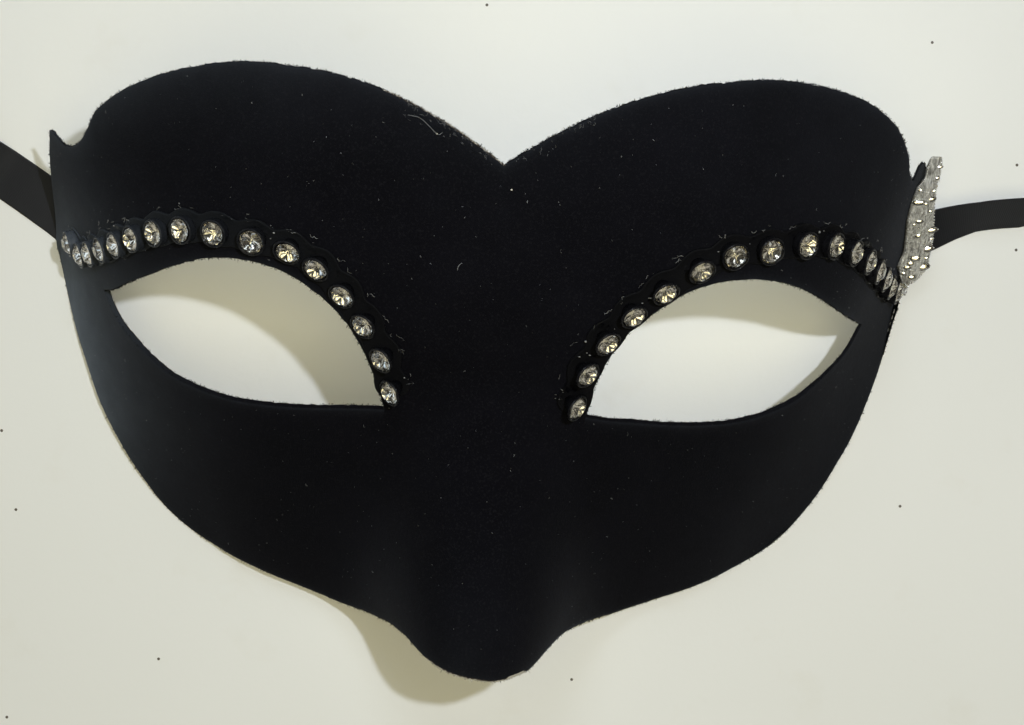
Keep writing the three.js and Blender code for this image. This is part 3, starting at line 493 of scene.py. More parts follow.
def mat_ribbon():
    """Fine woven ribbon: weft ribs across, warp along, with a smoother selvage; uses the strip's own across/along values."""
    n = Nodes("ribbon_weave")
    uv = n.node("ShaderNodeUVMap", uv_map="strip").outputs["UV"]        # x across 0..1, y along in mm
    sep = n.node("ShaderNodeSeparateXYZ")
    n.link(uv, sep.inputs[0])
    rib = n.math("SINE", n.math("MULTIPLY", sep.outputs[1], 2 * math.pi / 0.42))
    warp = n.math("SINE", n.math("MULTIPLY", sep.outputs[0], 2 * math.pi * 42))
    weave = n.math("ADD", n.math("MULTIPLY", rib, 0.5), n.math("MULTIPLY", n.math("MULTIPLY", warp, rib), 0.35))
    edge = n.math("GREATER_THAN", n.math("ABSOLUTE", n.math("SUBTRACT", sep.outputs[0], 0.5)), 0.465)
    tone = n.mix(n.ramp(n.noise(120, 4), [(0.3, 0.0), (0.7, 1.0)]), (0.0026, 0.0031, 0.0050), (0.0044, 0.0050, 0.0076))
    tone = n.mix(n.math("MULTIPLY_ADD", weave, 0.35, 0.4, clamp=True), tone, (0.0056, 0.0063, 0.0090))
    tone = n.mix(n.math("MULTIPLY", edge, 0.5), tone, (0.010, 0.010, 0.012))
    n.link(tone, n.b.inputs["Base Color"])
    n.set(Roughness=0.62)
    n.b.inputs["Specular IOR Level"].default_value = 0.28
    n.b.inputs["Sheen Weight"].default_value = 0.09
    n.b.inputs["Sheen Roughness"].default_value = 0.4
    n.b.inputs["Sheen Tint"].default_value = (0.85, 0.92, 1.0, 1.0)
    n.link(n.bump(weave, 0.35, 0.00004), n.b.inputs["Normal"])
    return n.mat


def mat_table():
    n = Nodes("table")
    big = n.noise(6, 3)
    mid = n.noise(55, 4, 0.6)
    base = n.mix(n.ramp(big, [(0.3, 0.0), (0.7, 1.0)]), (0.765, 0.765, 0.735), (0.805, 0.805, 0.780))
    base = n.mix(n.ramp(mid, [(0.60, 0.0), (0.85, 0.35)]), base, (0.70, 0.675, 0.60))
    vor = n.node("ShaderNodeTexVoronoi", feature="F1", voronoi_dimensions="2D")
    vor.inputs["Scale"].default_value = 34
    n.link(n.geo, vor.inputs["Vector"])
    sep = n.node("ShaderNodeSeparateColor")
    n.link(vor.outputs["Color"], sep.inputs[0])
    speck = n.math("MULTIPLY", n.math("LESS_THAN", vor.outputs["Distance"], 0.010), n.math("GREATER_THAN", sep.outputs[0], 0.62))
    col = n.mix(speck, base, (0.10, 0.085, 0.07))
    n.link(col, n.b.inputs["Base Color"])
    n.set(Roughness=0.48)
    n.b.inputs["Specular IOR Level"].default_value = 0.35
    n.link(n.bump(n.noise(420, 5, 0.6), 0.10, 0.0004), n.b.inputs["Normal"])
    return n.mat


FLOCK, BARE = mat_flock(), mat_bare()
FIBRE, LINT, FRAY = mat_fibre("flock_fibre", (0.0035, 0.0036, 0.0042), 0.9), mat_fibre("lint", (0.20, 0.205, 0.21), 0.7), mat_fibre("frayed_edge", (0.52, 0.49, 0.43), 0.8)
BAND, GLUE, RIM = mat_band(), mat_glue(), mat_rim()
GLASS, FOIL, SILVER, RIBBON, TABLE = mat_glass(), mat_foil(), mat_silver(), mat_ribbon(), mat_table()
FROST, CUP_SHADE_PAINT = mat_frost(), mat_fibre("cup_shadow", (0.035, 0.034, 0.032), 0.5)


# ------------------------------------------------------------------ camera (the photograph's)
CAM_AT = (np.array([-5.0999228208647045, 2.171444944708213, 333.4963608162958]) * 1.1 + [0, 0, CLEAR] + SHIFT) * MM
CAM_AXES = [[0.9987485590857893, -0.03928954646758058, -0.030945876339689076],
            [0.04082983573347456, 0.9978726914004772, 0.050823383113934265],
            [0.028883217238337318, -0.0520232957004847, 0.9982280984155991]]       # rows are world x, y, z; columns are right, up, back
cam_data = bpy.data.cameras.new("camera")
cam_data.sensor_width, cam_data.lens = 36.0, 36.0 * 1804.17 / 1024
cam_data.clip_start, cam_data.clip_end = 0.01, 20.0
cam = bpy.data.objects.new("camera", cam_data)
bpy.context.scene.collection.objects.link(cam)
cam.matrix_world = Matrix.Translation(Vector(CAM_AT.tolist())) @ Matrix(CAM_AXES).to_4x4()
bpy.context.scene.camera = cam


# ------------------------------------------------------------------ ribbons (cords)
def v3(x):
    return np.array(x, float)


def ribbon_stations(s):
    sg, P, W = (-1 if s == "L" else 1), [], []
    for a, v in GLUED[s]:
        p, _, n = face_frame(sg * a, v)
        P.append(p - n * (WALL + 0.55))
        W.append(unit(face(sg * a, v + 0.1) - face(sg * a, v - 0.1)))
    for x, y, z, tilt, head in LAID[s]:
        r, g = math.radians(tilt), math.radians(head)
        P.append(v3([x, y, z]))
        W.append(v3([math.cos(r) * math.cos(g), math.cos(r) * math.sin(g), math.sin(r)]))
    x, y, head = ROLL[s]
    h = math.radians(head)
    d = v3([math.cos(h), math.sin(h), 0])
    nrm = v3([-d[1], d[0], 0]) * (-1 if s == "L" else 1)
    touch = v3([x, y, RIBBON_W / 2 + 0.1]) + nrm * ROLL_R
    back = math.sqrt((ROLL_OUT + 0.35) ** 2 - (ROLL_R - 0.15) ** 2)
    for k in (back + 4.5, back + 0.2):
        P.append(touch - d * k)
        W.append(v3([0, 0, 1]))
    return P, W, touch, d, nrm


def make_ribbon(s, name):
    P, W, touch, d, nrm = ribbon_stations(s)
    lead = len(P)
    P = list(catmull(P, 3))
    Wd = [unit(np.array([np.interp(i / 3, range(lead), [w[c] for w in W]) for c in range(3)])) for i in range((lead - 1) * 3 + 1)]
    # the roll: round the middle, drawing in
    x, y, _ = ROLL[s]
    ph0 = math.atan2(nrm[1], nrm[0])
    sense = 1 if s == "L" else -1
    for k in range(1, 5):
        P.append(touch + d * (-1) * (P_gap(s) * (1 - k / 4)))
        Wd.append(v3([0, 0, 1]))
    turns, steps = ROLL_TURNS, int(ROLL_TURNS * 40)
    for i in range(1, steps + 1):
        t = i / steps
        r = ROLL_R - ROLL_PITCH * turns * t
        if i < 12:
            r = ROLL_R - ROLL_PITCH * turns * t * (i / 12)
        r += 0.28 * math.sin(5 * t * 2 * math.pi + (0.7 if s == "L" else 2.1)) * min(1, i / 12)
        ph = ph0 + sense * turns * 2 * math.pi * t
        P.append(v3([x + r * math.cos(ph), y + r * math.sin(ph), RIBBON_W / 2 + 0.1]))
        Wd.append(v3([0, 0, 1]))
    P, Wd = np.array(P), np.array(Wd)
    keep = [0]
    for i in range(1, len(P)):
        if np.linalg.norm(P[i] - P[keep[-1]]) > 0.35:
            keep.append(i)
    P, Wd = P[keep], Wd[keep]
    T = np.gradient(P, axis=0)
    T = unit(T)
    Wd = unit(Wd - (Wd * T).sum(1, keepdims=True) * T)
    U = unit(np.cross(T, Wd))
    length = np.concatenate([[0], np.cumsum(np.linalg.norm(np.diff(P, axis=0), axis=1))])
    # cross section: thicker woven edge
    xs = np.array([-1, -0.96, -0.9, -0.6, -0.3, 0, 0.3, 0.6, 0.9, 0.96, 1.0])
    th = np.array([0.55, 1.0, 0.85, 0.75, 0.72, 0.72, 0.72, 0.75, 0.85, 1.0, 0.55]) * RIBBON_T / 2
    n, m = len(P), len(xs)
    verts, faces, uvs = [], [], []
    for i in range(n):
        end = 0.0
        if i == n - 1:
            end = 1.0
        wob = 0.05 * math.sin(length[i] * 0.9) + 0.03 * math.sin(length[i] * 2.3 + 1)
        for j in range(m):
            cut = T[i] * (xs[j] * 2.2 * end)
            c = P[i] + Wd[i] * xs[j] * (RIBBON_W / 2 - 0.02) + U[i] * (0.03 * wob) + cut
            verts.append(c + U[i] * th[j])
        for j in range(m):
            cut = T[i] * (xs[j] * 2.2 * end)
            c = P[i] + Wd[i] * xs[j] * (RIBBON_W / 2 - 0.02) + U[i] * (0.03 * wob) + cut
            verts.append(c - U[i] * th[j])
    verts = np.array(verts)
    verts[:, 2] = np.maximum(verts[:, 2], 0.02)
    for i in range(n - 1):
        a, b = i * 2 * m, (i + 1) * 2 * m
        for j in range(m - 1):
            faces.append([a + j, b + j, b + j + 1, a + j + 1])
            faces.append([a + m + j, a + m + j + 1, b + m + j + 1, b + m + j])
        faces.append([a, a + m, b + m, b])
        faces.append([a + m - 1, b + m - 1, b + 2 * m - 1, a + 2 * m - 1])
    faces.append([j for j in range(m)] + [m + j for j in reversed(range(m))])
    e = (n - 1) * 2 * m
    faces.append([e + m + j for j in range(m)] + [e + j for j in reversed(range(m))])
    ob = make_object(name, verts, faces, [RIBBON])
    uv = ob.data.uv_layers.new(name="strip")
    vi = np.zeros(len(ob.data.loops), np.int32)
    ob.data.loops.foreach_get("vertex_index", vi)
    ring, col = vi // (2 * m), (vi % (2 * m)) % m
    flat = np.stack([(xs[col] + 1) / 2, length[ring]], 1)
    uv.data.foreach_set("uv", flat.astype(np.float32).ravel())
    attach(ob, "root")
    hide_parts(f"{name.split('_')[0]}_ribbon", f"{name.split('_')[0]}_ribbon_roll")
    return ob, length[-1]


def P_gap(s):
    return math.sqrt((ROLL_OUT + 0.35) ** 2 - (ROLL_R - 0.15) ** 2) + 0.2


ribL, lenL = make_ribbon("L", "left_tie")
ribR, lenR = make_ribbon("R", "right_tie")
print("ribbon lengths", lenL, lenR)


# ------------------------------------------------------------------ shell
def shell_grid():
    start = {"L": np.arange(-0.6, 15.5, 0.7), "R": NOTCH_U + np.array([0.3] + list(np.arange(0.8, 14.2, 0.7)))}
    eye = np.concatenate([np.arange(15.6, 18.2, 0.4), 18.3 + np.array([0, 0.1, 0.25, 0.5, 0.8, 1.15, 1.55, 2.0, 2.5, 3.1, 3.8, 4.5, 5.3]), np.arange(24.4, 79.5, 0.8)])
    cols = {}
    for s in "LR":
        o = EYE_OUT[s][0]
        lead = np.arange(80.0, o - 1.6, 0.7)
        tail = np.concatenate([np.arange(o + 0.5, 94.0, 0.6), np.arange(94.0, 98.6, 0.3), np.arange(98.8, 106.2, 0.55), [106.5, 106.9, 107.2, 107.5, 107.75, 107.95, 108.1, 108.2]])
        cols[s] = np.concatenate([start[s], eye, lead, o - np.array([1.4, 1.0, 0.7, 0.4, 0.18, 0.0]), tail])
    us = np.concatenate([-cols["L"][::-1], [NOTCH_U - 0.3, NOTCH_U], cols["R"]])
    us = np.sort(us)
    us = us[np.concatenate([[True], np.diff(us) > 0.04])]
    NU, NL = 46, 44
    ru = (1 - np.cos(np.linspace(0, math.pi, NU + 1))) / 2 * 0.5 + np.linspace(0, 1, NU + 1) * 0.5
    rl = (1 - np.cos(np.linspace(0, math.pi, NL + 1))) / 2 * 0.5 + np.linspace(0, 1, NL + 1) * 0.5
    uv, quads, grid = [], [], []
    for u in us:
        a, s = abs(u), "L" if u < 0 else "R"
        top, low, ht, hb = sides(u)
        out = EYE_OUT[s]
        if a >= HEEL[0] - 1e-6:
            k = len(uv)
            uv.append((u, HEEL[1]))
            grid.append(([k] * (NU + 1), [k] * (NL + 1)))
            continue
        seam = EYE_IN[1] if a <= EYE_IN[0] else out[1] + (HEEL[1] - out[1]) * (a - out[0]) / (HEEL[0] - out[0])
        lo = list(range(len(uv), len(uv) + NL + 1))
        uv.extend([(u, low + ((seam if hb is None else hb) - low) * r) for r in rl])
        if ht is not None:
            up = list(range(len(uv), len(uv) + NU + 1))
            uv.extend([(u, ht + (top - ht) * r) for r in ru])
        else:
            up = [lo[-1]] + list(range(len(uv), len(uv) + NU))
            uv.extend([(u, seam + (top - seam) * r) for r in ru[1:]])
        grid.append((up, lo))
    for (A, B) in zip(grid, grid[1:]):
        for k in (0, 1):
            p, q = A[k], B[k]
            for j in range(len(p) - 1):
                f = [p[j], q[j], q[j + 1], p[j + 1]]
                g = [x for i, x in enumerate(f) if x != f[i - 1]]
                if len(g) >= 3:
                    quads.append(g)
    return np.array(uv), quads


def noise1(x, seed):
    r = np.random.default_rng(seed)
    y = np.zeros_like(x, float)
    for k in range(6):
        y += r.normal() * np.sin(x * r.uniform(0.5, 3.0) * (1.7 ** k) * 0.25 + r.uniform(0, 6.28)) / (1.25 ** k)
    return y / 3


def make_shell():
    uv, quads = shell_grid()
    P, du, N = face_frame(uv[:, 0], uv[:, 1])
    n = len(uv)
    edges = {}
    for f in quads:
        for i in range(len(f)):
            edges[(f[i - 1], f[i])] = True
    rim = [e for e in edges if (e[1], e[0]) not in edges]
    nxt = {a: b for a, b in rim}
    prv = {b: a for a, b in rim}
    loops, seen = [], set()
    for a in nxt:
        if a in seen:
            continue
        loop = []
        while a not in seen:
            seen.add(a)
            loop.append(a)
            a = nxt[a]
        loops.append(loop)
    # outward direction in the surface at each rim vertex
    out = {}
    for a in nxt:
        t = unit(P[nxt[a]] - P[prv[a]])
        out[a] = unit(np.cross(t, N[a]))
    # worn places: the nose's lower edge, a chip there, and the brow edge down to the notch
    wear = np.zeros(n)
    a_, v_, side = np.abs(uv[:, 0]), uv[:, 1], uv[:, 0]
    near = [sides(u) for u in uv[:, 0]]
    topv, low = np.array([q[0] for q in near]), np.array([q[1] for q in near])
    d_low, d_top = v_ - low, topv - v_
    wear = np.maximum(wear, np.where((side > -8.0) & (side < 8.8), np.clip(1 - d_low / 1.6, 0, 1) * 0.82, 0))
    wear = np.maximum(wear, np.where((side > 4.9) & (side < 8.3) & (d_low < 0.8), 1.02 - 0.35 * d_low, 0))
    wear = np.maximum(wear, np.where((side > -21) & (side < 0.3), np.clip(1 - d_top / 0.8, 0, 1) * 0.70, 0))
    wear = np.maximum(wear, np.where((np.abs(side) < 2.0), np.clip(1 - d_top / 0.9, 0, 1) * 0.7, 0))
    P = P.copy()
    P[:, 2] = np.maximum(P[:, 2], np.where((uv[:, 0] < -100) & (P[:, 1] > 2.6), 0.6, 0.0))
    B = Build()
    B.add(P, quads, 0, True, wear)
    wall = wall_at(uv[:, 0], uv[:, 1])
    IN = face_frame(uv[:, 0], uv[:, 1])[0] - N * wall[:, None]
    IN[:, 2] = np.maximum(IN[:, 2], np.where((uv[:, 0] < -100) & (IN[:, 1] > 2.6), 0.6, 0.0))
    hole_d = np.array([99.0 if q[2] is None else min(abs(v - q[2]), abs(v - q[3])) for q, v in zip(near, v_)])
    near = np.clip(1 - np.minimum(np.minimum(d_low, d_top), hole_d) / 7.0, 0, 1)
    for loop in loops:
        jag_in = noise1(np.arange(len(loop)) * 1.3, len(loop) + 7) * 0.05 + np.random.default_rng(len(loop) + 7).normal(size=len(loop)) * 0.07
        IN[loop] += np.array([out[a] for a in loop]) * np.clip(jag_in, -0.2, 0.2)[:, None]
    base_in = B.add(IN, [list(reversed(f)) for f in quads], 1, True, near)
    # rounded rim between the two skins
    ring_h, ring_o = [0.22, 0.60, 0.98], [0.10, 0.16, 0.10]
    for loop in loops:
        m = len(loop)
        ids = [[a for a in loop]]
        jag = noise1(np.arange(m) * 1.0, m) * 0.05 + np.random.default_rng(m).normal(size=m) * 0.06
        for h, o in zip(ring_h, ring_o):
            pts = np.array([P0(uv[a], N[a], h * wall[a] / WALL, P[a]) + out[a] * (o + jag[i]) for i, a in enumerate(loop)])
            pts[:, 2] = np.maximum(pts[:, 2], 0.0)
            wr = [wear[a] for a in loop]
            b = B.add(pts, [], 0, True, wr)
            ids.append(list(range(b, b + m)))
        ids.append([base_in + a for a in loop])
        for k in range(len(ids) - 1):
            for i in range(m):
                j = (i + 1) % m
                B.f.append([ids[k][j], ids[k][i], ids[k + 1][i], ids[k + 1][j]])
                B.m.append(0)
                B.s.append(True)
    # pile fibres that stand out along the trimmed edges
    for loop in loops:
        pts = P[loop]
        seg = np.linalg.norm(np.roll(pts, -1, 0) - pts, axis=1)
        for i, a in enumerate(loop):
            b = loop[(i + 1) % len(loop)]
            w = wear[a]
            for _ in range(int(RNG.poisson(seg[i] * 9.0))):
                t = RNG.random()
                h = (RNG.uniform(0.0, 0.25) if RNG.random() < 0.5 else RNG.uniform(0.95, 1.2)) * wall[a] / WALL
                o = P[a] * (1 - t) + P[b] * t - N[a] * h + out[a] * 0.1
                dr = unit(out[a] * RNG.uniform(0.5, 1.3) + N[a] * RNG.uniform(-0.7, 1.0) + RNG.normal(size=3) * 0.45)
                L = min(0.60, 0.20 + RNG.exponential(0.12)) if RNG.random() < 0.975 else RNG.uniform(0.62, 0.9)
                white = w > 0.3 and RNG.random() < 0.45
                if white:
                    L *= RNG.uniform(0.5, 1.3)
                wd = unit(np.cross(dr, RNG.normal(size=3))) * (RNG.uniform(0.06, 0.13) if L < 0.61 else 0.03) * (1.3 if white else 1.0)
                q = np.array([o - wd, o + wd, o + dr * L])
                q[:, 2] = np.maximum(q[:, 2], 0.01)
                B.add(q, [[0, 1, 2]], 4 if white else 2, False, 0.0)
    # lint on the face: short pale threads lying on the pile
    lint = []
    for _ in range(900):
        s = -1 if RNG.random() < 0.5 else 1
        lint.append((s * RNG.uniform(0, 100), RNG.uniform(-44, 60), 0.0))
    for (u, v, _) in lint:
        top, low_, ht, hb = sides(u)
        if not (low_ + 1 < v < top - 1) or (ht is not None and hb - 1 < v < ht + 1):
            continue
        size = min(1.7, RNG.pareto(3.0) * 0.19 + 0.07)
        ang, curl = RNG.uniform(0, 6.28), RNG.normal() * 1.6
        k = 2 if size < 0.3 else 5
        pts = []
        x, y, h = u, v, 0.12
        for i in range(k + 1):
            pts.append(on_face(x, y, h + 0.10 * math.sin(i * 1.3)))
            x += math.cos(ang) * size / k
            y += math.sin(ang) * size / k
            ang += curl / k
        wdt = RNG.uniform(0.020, 0.048)
        verts, faces = [], []
        for i, p in enumerate(pts):
            t = unit(pts[min(i + 1, k)] - pts[max(i - 1, 0)])
            nn = face_frame(u, v)[2]
            side_ = unit(np.cross(t, nn)) * wdt * (0.6 if i in (0, k) else 1)
            verts += [p - side_, p + side_]
            if i:
                faces.append([2 * i - 2, 2 * i - 1, 2 * i + 1, 2 * i])
        B.add(verts, faces, 3, True, 0.0)
    # the pale curled thread by the notch, the bright fleck under it, and loose pile along the brow edge on both sides
    def strand(pts, w, mat):
        verts, faces = [], []
        for i, c in enumerate(pts):
            tt = unit(pts[min(i + 1, len(pts) - 1)] - pts[max(i - 1, 0)])
            sd = unit(np.cross(tt, [0, 0, 1.0])) * w * (0.5 if i in (0, len(pts) - 1) else 1)
            verts += [c - sd, c + sd]
            if i:
                faces.append([2 * i - 2, 2 * i - 1, 2 * i + 1, 2 * i])
        B.add(verts, faces, mat, True, 0.0)
    curl = catmull([[-16.2, 57.3], [-14.1, 57.0], [-12.5, 56.0], [-11.2, 55.0], [-10.5, 54.7], [-9.9, 55.1]], 5)
    strand([on_face(x, y, 0.22) for x, y in curl], 0.030, 3)
    for u, v, r in ((2.8, 46.8, 0.20), (-10.9, 54.8, 0.15)):
        c, dx, nn = face_frame(u, v)
        dy = np.cross(nn, dx)
        B.add([c + nn * 0.3] + [c + dx * (r * math.cos(f)) + dy * (r * math.sin(f)) + nn * 0.12 for f in np.linspace(0, 2 * math.pi, 7)[:-1]],
              [[0, 1 + j, 1 + (j + 1) % 6] for j in range(6)], 4, False, 0.0)
    for _ in range(150):
        u = RNG.uniform(-17, -1.5) if RNG.random() < 0.6 else RNG.uniform(3.5, 17)
        v = top_edge(u) - 0.15 - RNG.exponential(0.7)
        g, L = RNG.uniform(0.2, 2.4), RNG.uniform(0.25, 0.8)
        strand([on_face(u, v, 0.1), on_face(u + math.cos(g) * L * 0.5, v + math.sin(g) * L * 0.5, 0.25), on_face(u + math.cos(g + 0.6) * L, v + math.sin(g + 0.6) * L, 0.3)],
               RNG.uniform(0.010, 0.026), 3 if RNG.random() < 0.5 else 2)
    ob = B.obj("shell", [FLOCK, BARE, FIBRE, LINT, FRAY])
    q = np.array(B.v)
    # painted sheen: the pile is painted lighter on the left temple and cheek, a little on the right temple, by the nose
    # tip and the left brow, and along the trimmed edges, standing in for the light and sheen that fall there
    pile_and_painted_sheen = 0.92 * np.exp(-np.clip(q[:, 0] + 82.5, 0, 200) / 7.5) * np.interp(q[:, 1], [-60, -48, -40, -30, -22, -10, 2, 10, 16, 20, 25, 29, 34, 50],
                                                                            [0.3, 0.80, 1.05, 1.50, 1.35, 1.05, 0.70, 0.34, 0.16, 0.12, 0.20, 0.34, 0.36, 0.3])
    pile_and_painted_sheen += 0.062 * np.exp(-np.clip(82.0 - q[:, 0], 0, 200) / 20.0) + 0.03 * np.exp(-np.hypot(q[:, 0] + 3, q[:, 1] + 68) / 9.0)
    pile_and_painted_sheen += 0.035 * np.exp(-np.hypot(q[:, 0] + 8, q[:, 1] - 44) / 14.0)
    # painted sheen: a light band along every trimmed edge and a broader one under the top edge, strongest on the left
    # lobe
    edge = np.zeros(len(q))
    edge[:n] = np.exp(-np.minimum(np.minimum(d_low, d_top), hole_d) / 0.8) * 0.05
    edge[:n] += np.exp(-d_top / 6.0) * (0.012 + 0.06 / (1 + np.exp((uv[:, 0] + 34.0) / 6.0)))
    at_ = ob.data.attributes.new("pile_and_painted_sheen", "FLOAT", "POINT")
    at_.data.foreach_set("value", np.clip(pile_and_painted_sheen + edge, 0, 1).astype(np.float32))
    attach(ob, "root")
    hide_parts("mask_shell")
    return ob


def P0(uv, n, h, p):
    return p - n * h


make_shell()


# ------------------------------------------------------------------ rhinestone bands
def row_at(s, t):
    R = np.array(ROW[s], float)
    n = len(R)
    i = int(np.clip(math.floor(t), 0, n - 2))
    f = t - i
    G = lambda k: 2 * R[0] - R[1] if k < 0 else 2 * R[-1] - R[-2] if k > n - 1 else R[k]
    p0, p1, p2, p3 = G(i - 1), G(i), G(i + 1), G(i + 2)
    return 0.5 * (2 * p1 + (p2 - p0) * f + (2 * p0 - 5 * p1 + 4 * p2 - p3) * f * f + (3 * p1 - p0 - 3 * p2 + p3) * f ** 3)


def row_frame(s, t):
    sg = -1 if s == "L" else 1
    a, v = row_at(s, t)
    a1, v1 = row_at(s, t + 0.02)
    a0, v0 = row_at(s, t - 0.02)
    p, _, n = face_frame(sg * a, v)
    along = unit(face(sg * a1, v1) - face(sg * a0, v0))
    up = unit(np.cross(n, along) * (1 if s == "L" else -1))
    return sg, a, v, p, n, along, up


def seat(sg, k, a, p, n, up):
    """Foot and axis of cup k: out a little at the temples, over toward the eye hole from the brow's middle down to the nose."""
    d = unit(np.array([sg, 0, 0.0]) - n * (n[0] * sg))
    f = math.radians(6.0) * float(ease(np.clip((a - 46) / 30, 0, 1)))
    g = math.radians(float(np.interp(k, [7, 9, 10, 11, 12, 13, 14, 15], LEAN)))
    n2 = unit(n * math.cos(f) + d * math.sin(f))
    b = float(np.interp(k, [12, 13, 14, 15], [0, 0.2, 0.5, 0.85]))
    over = unit(d * b - up * (1 - b))
    n2 = unit(n2 * math.cos(g) + over * math.sin(g))
    return p - over * (2.25 * math.sin(g)) + n * (2.3 * (1 - math.cos(g)) + 0.9 * math.sin(g)), n2


def drop_to(sg, target, a, v):
    for _ in range(6):
        h = 0.05
        p = face(sg * a, v)
        da, dv, r = (face(sg * (a + h), v) - p) / h, (face(sg * a, v + h) - p) / h, target - p
        A, Bq, D, g, q = da @ da, da @ dv, dv @ dv, r @ da, r @ dv
        det = A * D - Bq * Bq
        a += (D * g - Bq * q) / det
        v += (A * q - Bq * g) / det
    return a, v


def make_band(s):
    nm = "left" if s == "L" else "right"
    B = Build()
    per = 14
    half = 3.0 / 6.9
    ts = np.linspace(-half, 15 + half, int((15 + 2 * half) * per))
    rows = []
    jit = noise1(np.arange(len(ts)) * 1.0, 5 if s == "L" else 9)
    jit2 = noise1(np.arange(len(ts)) * 1.0, 15 if s == "L" else 19)
    for i, t in enumerate(ts):
        sg, a, v, p, n, along, up = row_frame(s, t)
        c = abs(math.cos(math.pi * float(np.clip(t, 0, 15))))
        hi = 2.75 + 1.0 * c ** 1.3 + 0.10 * jit[i]
        lo = 2.25 + 0.45 * c ** 1.3 + 0.06 * jit2[i]
        if t < 0 or t > 15:
            e = min(1.0, (abs(t) if t < 0 else t - 15) / half)
            k = math.sqrt(max(0.0, 1 - e * e))
            hi, lo = hi * (0.15 + 0.85 * k), lo * (0.15 + 0.85 * k)
        hi *= 0.76 + 0.24 * float(np.clip((t + half) / 1.6, 0, 1))
        # section from the eye side to the brow side: height over the flock
        q = 1 - 0.45 * float(ease(np.clip((a - 70) / 18, 0, 1)))
        sec = [(-lo, 0.05), (-lo + 0.02, 0.36 * q), (-lo + 0.22, 0.46 * q), (-lo + 0.5, 0.44 * q), (-lo * 0.5, 0.42 * q), (0, 0.42 * q), (hi * 0.5, 0.42 * q),
               (hi - 0.55, 0.44 * q), (hi - 0.30, (0.52 + 0.04 * jit[i]) * q), (hi - 0.08, 0.48 * q), (hi, 0.32 * q), (hi, 0.05)]
        ring = []
        for d, h in sec:
            aa, vv = drop_to(sg, p + up * d, a, v)
            ring.append(on_face(sg * aa, vv, h))
        rows.append(ring)
    m = len(rows[0])
    V = np.array(rows).reshape(-1, 3)
    V[:, 2] = np.maximum(V[:, 2], 0.05)
    F = []
    for i in range(len(rows) - 1):
        for j in range(m - 1):
            f = [i * m + j, (i + 1) * m + j, (i + 1) * m + j + 1, i * m + j + 1]
            F.append(f if s == "L" else f[::-1])
        f = [i * m + m - 1, (i + 1) * m + m - 1, (i + 1) * m, i * m]
        F.append(f if s == "L" else f[::-1])
    for i in (0, len(rows) - 1):
        f = [i * m + j for j in range(m)]
        F.append(f if (i == 0) == (s == "L") else f[::-1])
    B.add(V, F, 0, True)
    # cups
    for k in range(16):
        sg, a, v, p, n, along, up = row_frame(s, k)
        o, n2 = seat(sg, k, a, p, n, up)
        xa = unit(along - n2 * (along @ n2))
        ya = np.cross(n2, xa)
        foot = 1.0 * float(np.clip(np.interp(k, [7, 9, 10, 15], [0, 0.3, 1, 1.15]), 0, 2))
        prof = [[0, 0.10], [2.45 - foot, 0.10], [2.52 - foot * 0.75, 0.7], [2.50 - foot * 0.3, 1.30], [2.56, 1.62], [2.58, 1.80], [2.52, 1.97], [2.40, 2.04], [2.27, 2.00], [2.20, 1.86], [2.18, 1.62],
                [2.10, 1.2], [1.2, 0.66], [0.0, 0.62]]
        V, F = lathe(prof, 40, o, xa, ya, n2)
        wob = 1 + 0.012 * np.sin(np.arange(len(V)) * 0.7)
        V = o + (V - o) * wob[:, None]
        V[:41] -= np.maximum((V[:41] - p) @ n - 0.1, 0)[:, None] * n          # the foot comes down to the band
        B.add(V, F, 2, True)
        # glue threads along the band's outer edge
        for _ in range(int(RNG.integers(1, 5)) if a < 86 else 0):
            t0, span = k + RNG.uniform(-0.5, 0.45), RNG.uniform(0.04, 0.24)
            off0, pts = RNG.uniform(3.3, 4.3), []
            for j in range(7):
                sg_, a_, v_, p_, n_, al_, up_ = row_frame(s, float(np.clip(t0 + span * j / 6, 0, 15)))
                off0 += RNG.normal() * 0.17
                aa, vv = drop_to(sg_, p_ + up_ * off0, a_, v_)
                pts.append(on_face(sg_ * aa, vv, 0.30 + 0.28 * RNG.random()))
            wd = RNG.uniform(0.024, 0.062)
            V, F = [], []
            for j, c_ in enumerate(pts):
                tt = unit(pts[min(j + 1, 6)] - pts[max(j - 1, 0)])
                sd = unit(np.cross(tt, n_)) * wd * (0.5 if j in (0, 6) else RNG.uniform(0.6, 1.3))
                V += [c_ - sd, c_ + sd, c_ + unit(np.cross(sd, tt)) * wd * 0.8]
                if j:
                    b0 = 3 * j - 3
                    F += [[b0, b0 + 2, b0 + 5, b0 + 3], [b0 + 2, b0 + 1, b0 + 4, b0 + 5], [b0 + 1, b0, b0 + 3, b0 + 4]]
            F += [[0, 1, 2], [18, 20, 19]]
            B.add(V, F, 1, True)
        # dried glue at some cups
        if RNG.random() < 0.55:
            for _ in range(int(RNG.integers(1, 4))):
                ang = RNG.uniform(-0.4, 3.5)
                c = p + (along * math.cos(ang) + up * abs(math.sin(ang))) * RNG.uniform(2.7, 4.6)
                aa, vv = drop_to(sg, c, a, v)
                q, dx, nn = face_frame(sg * aa, vv)
                r = RNG.uniform(0.10, 0.26)
                V, F = lathe([[0, 0.0], [r, 0.02], [r * 0.8, r * 0.55], [r * 0.35, r * 0.8], [0, r * 0.85]], 8, q + nn * 0.45, dx, np.cross(nn, dx), nn, squash=RNG.uniform(0.4, 1.0))
                B.add(V, F, 1, True)
    ob = B.obj(f"{nm}_band", [BAND, GLUE, RIM])
    q = np.array(B.v)
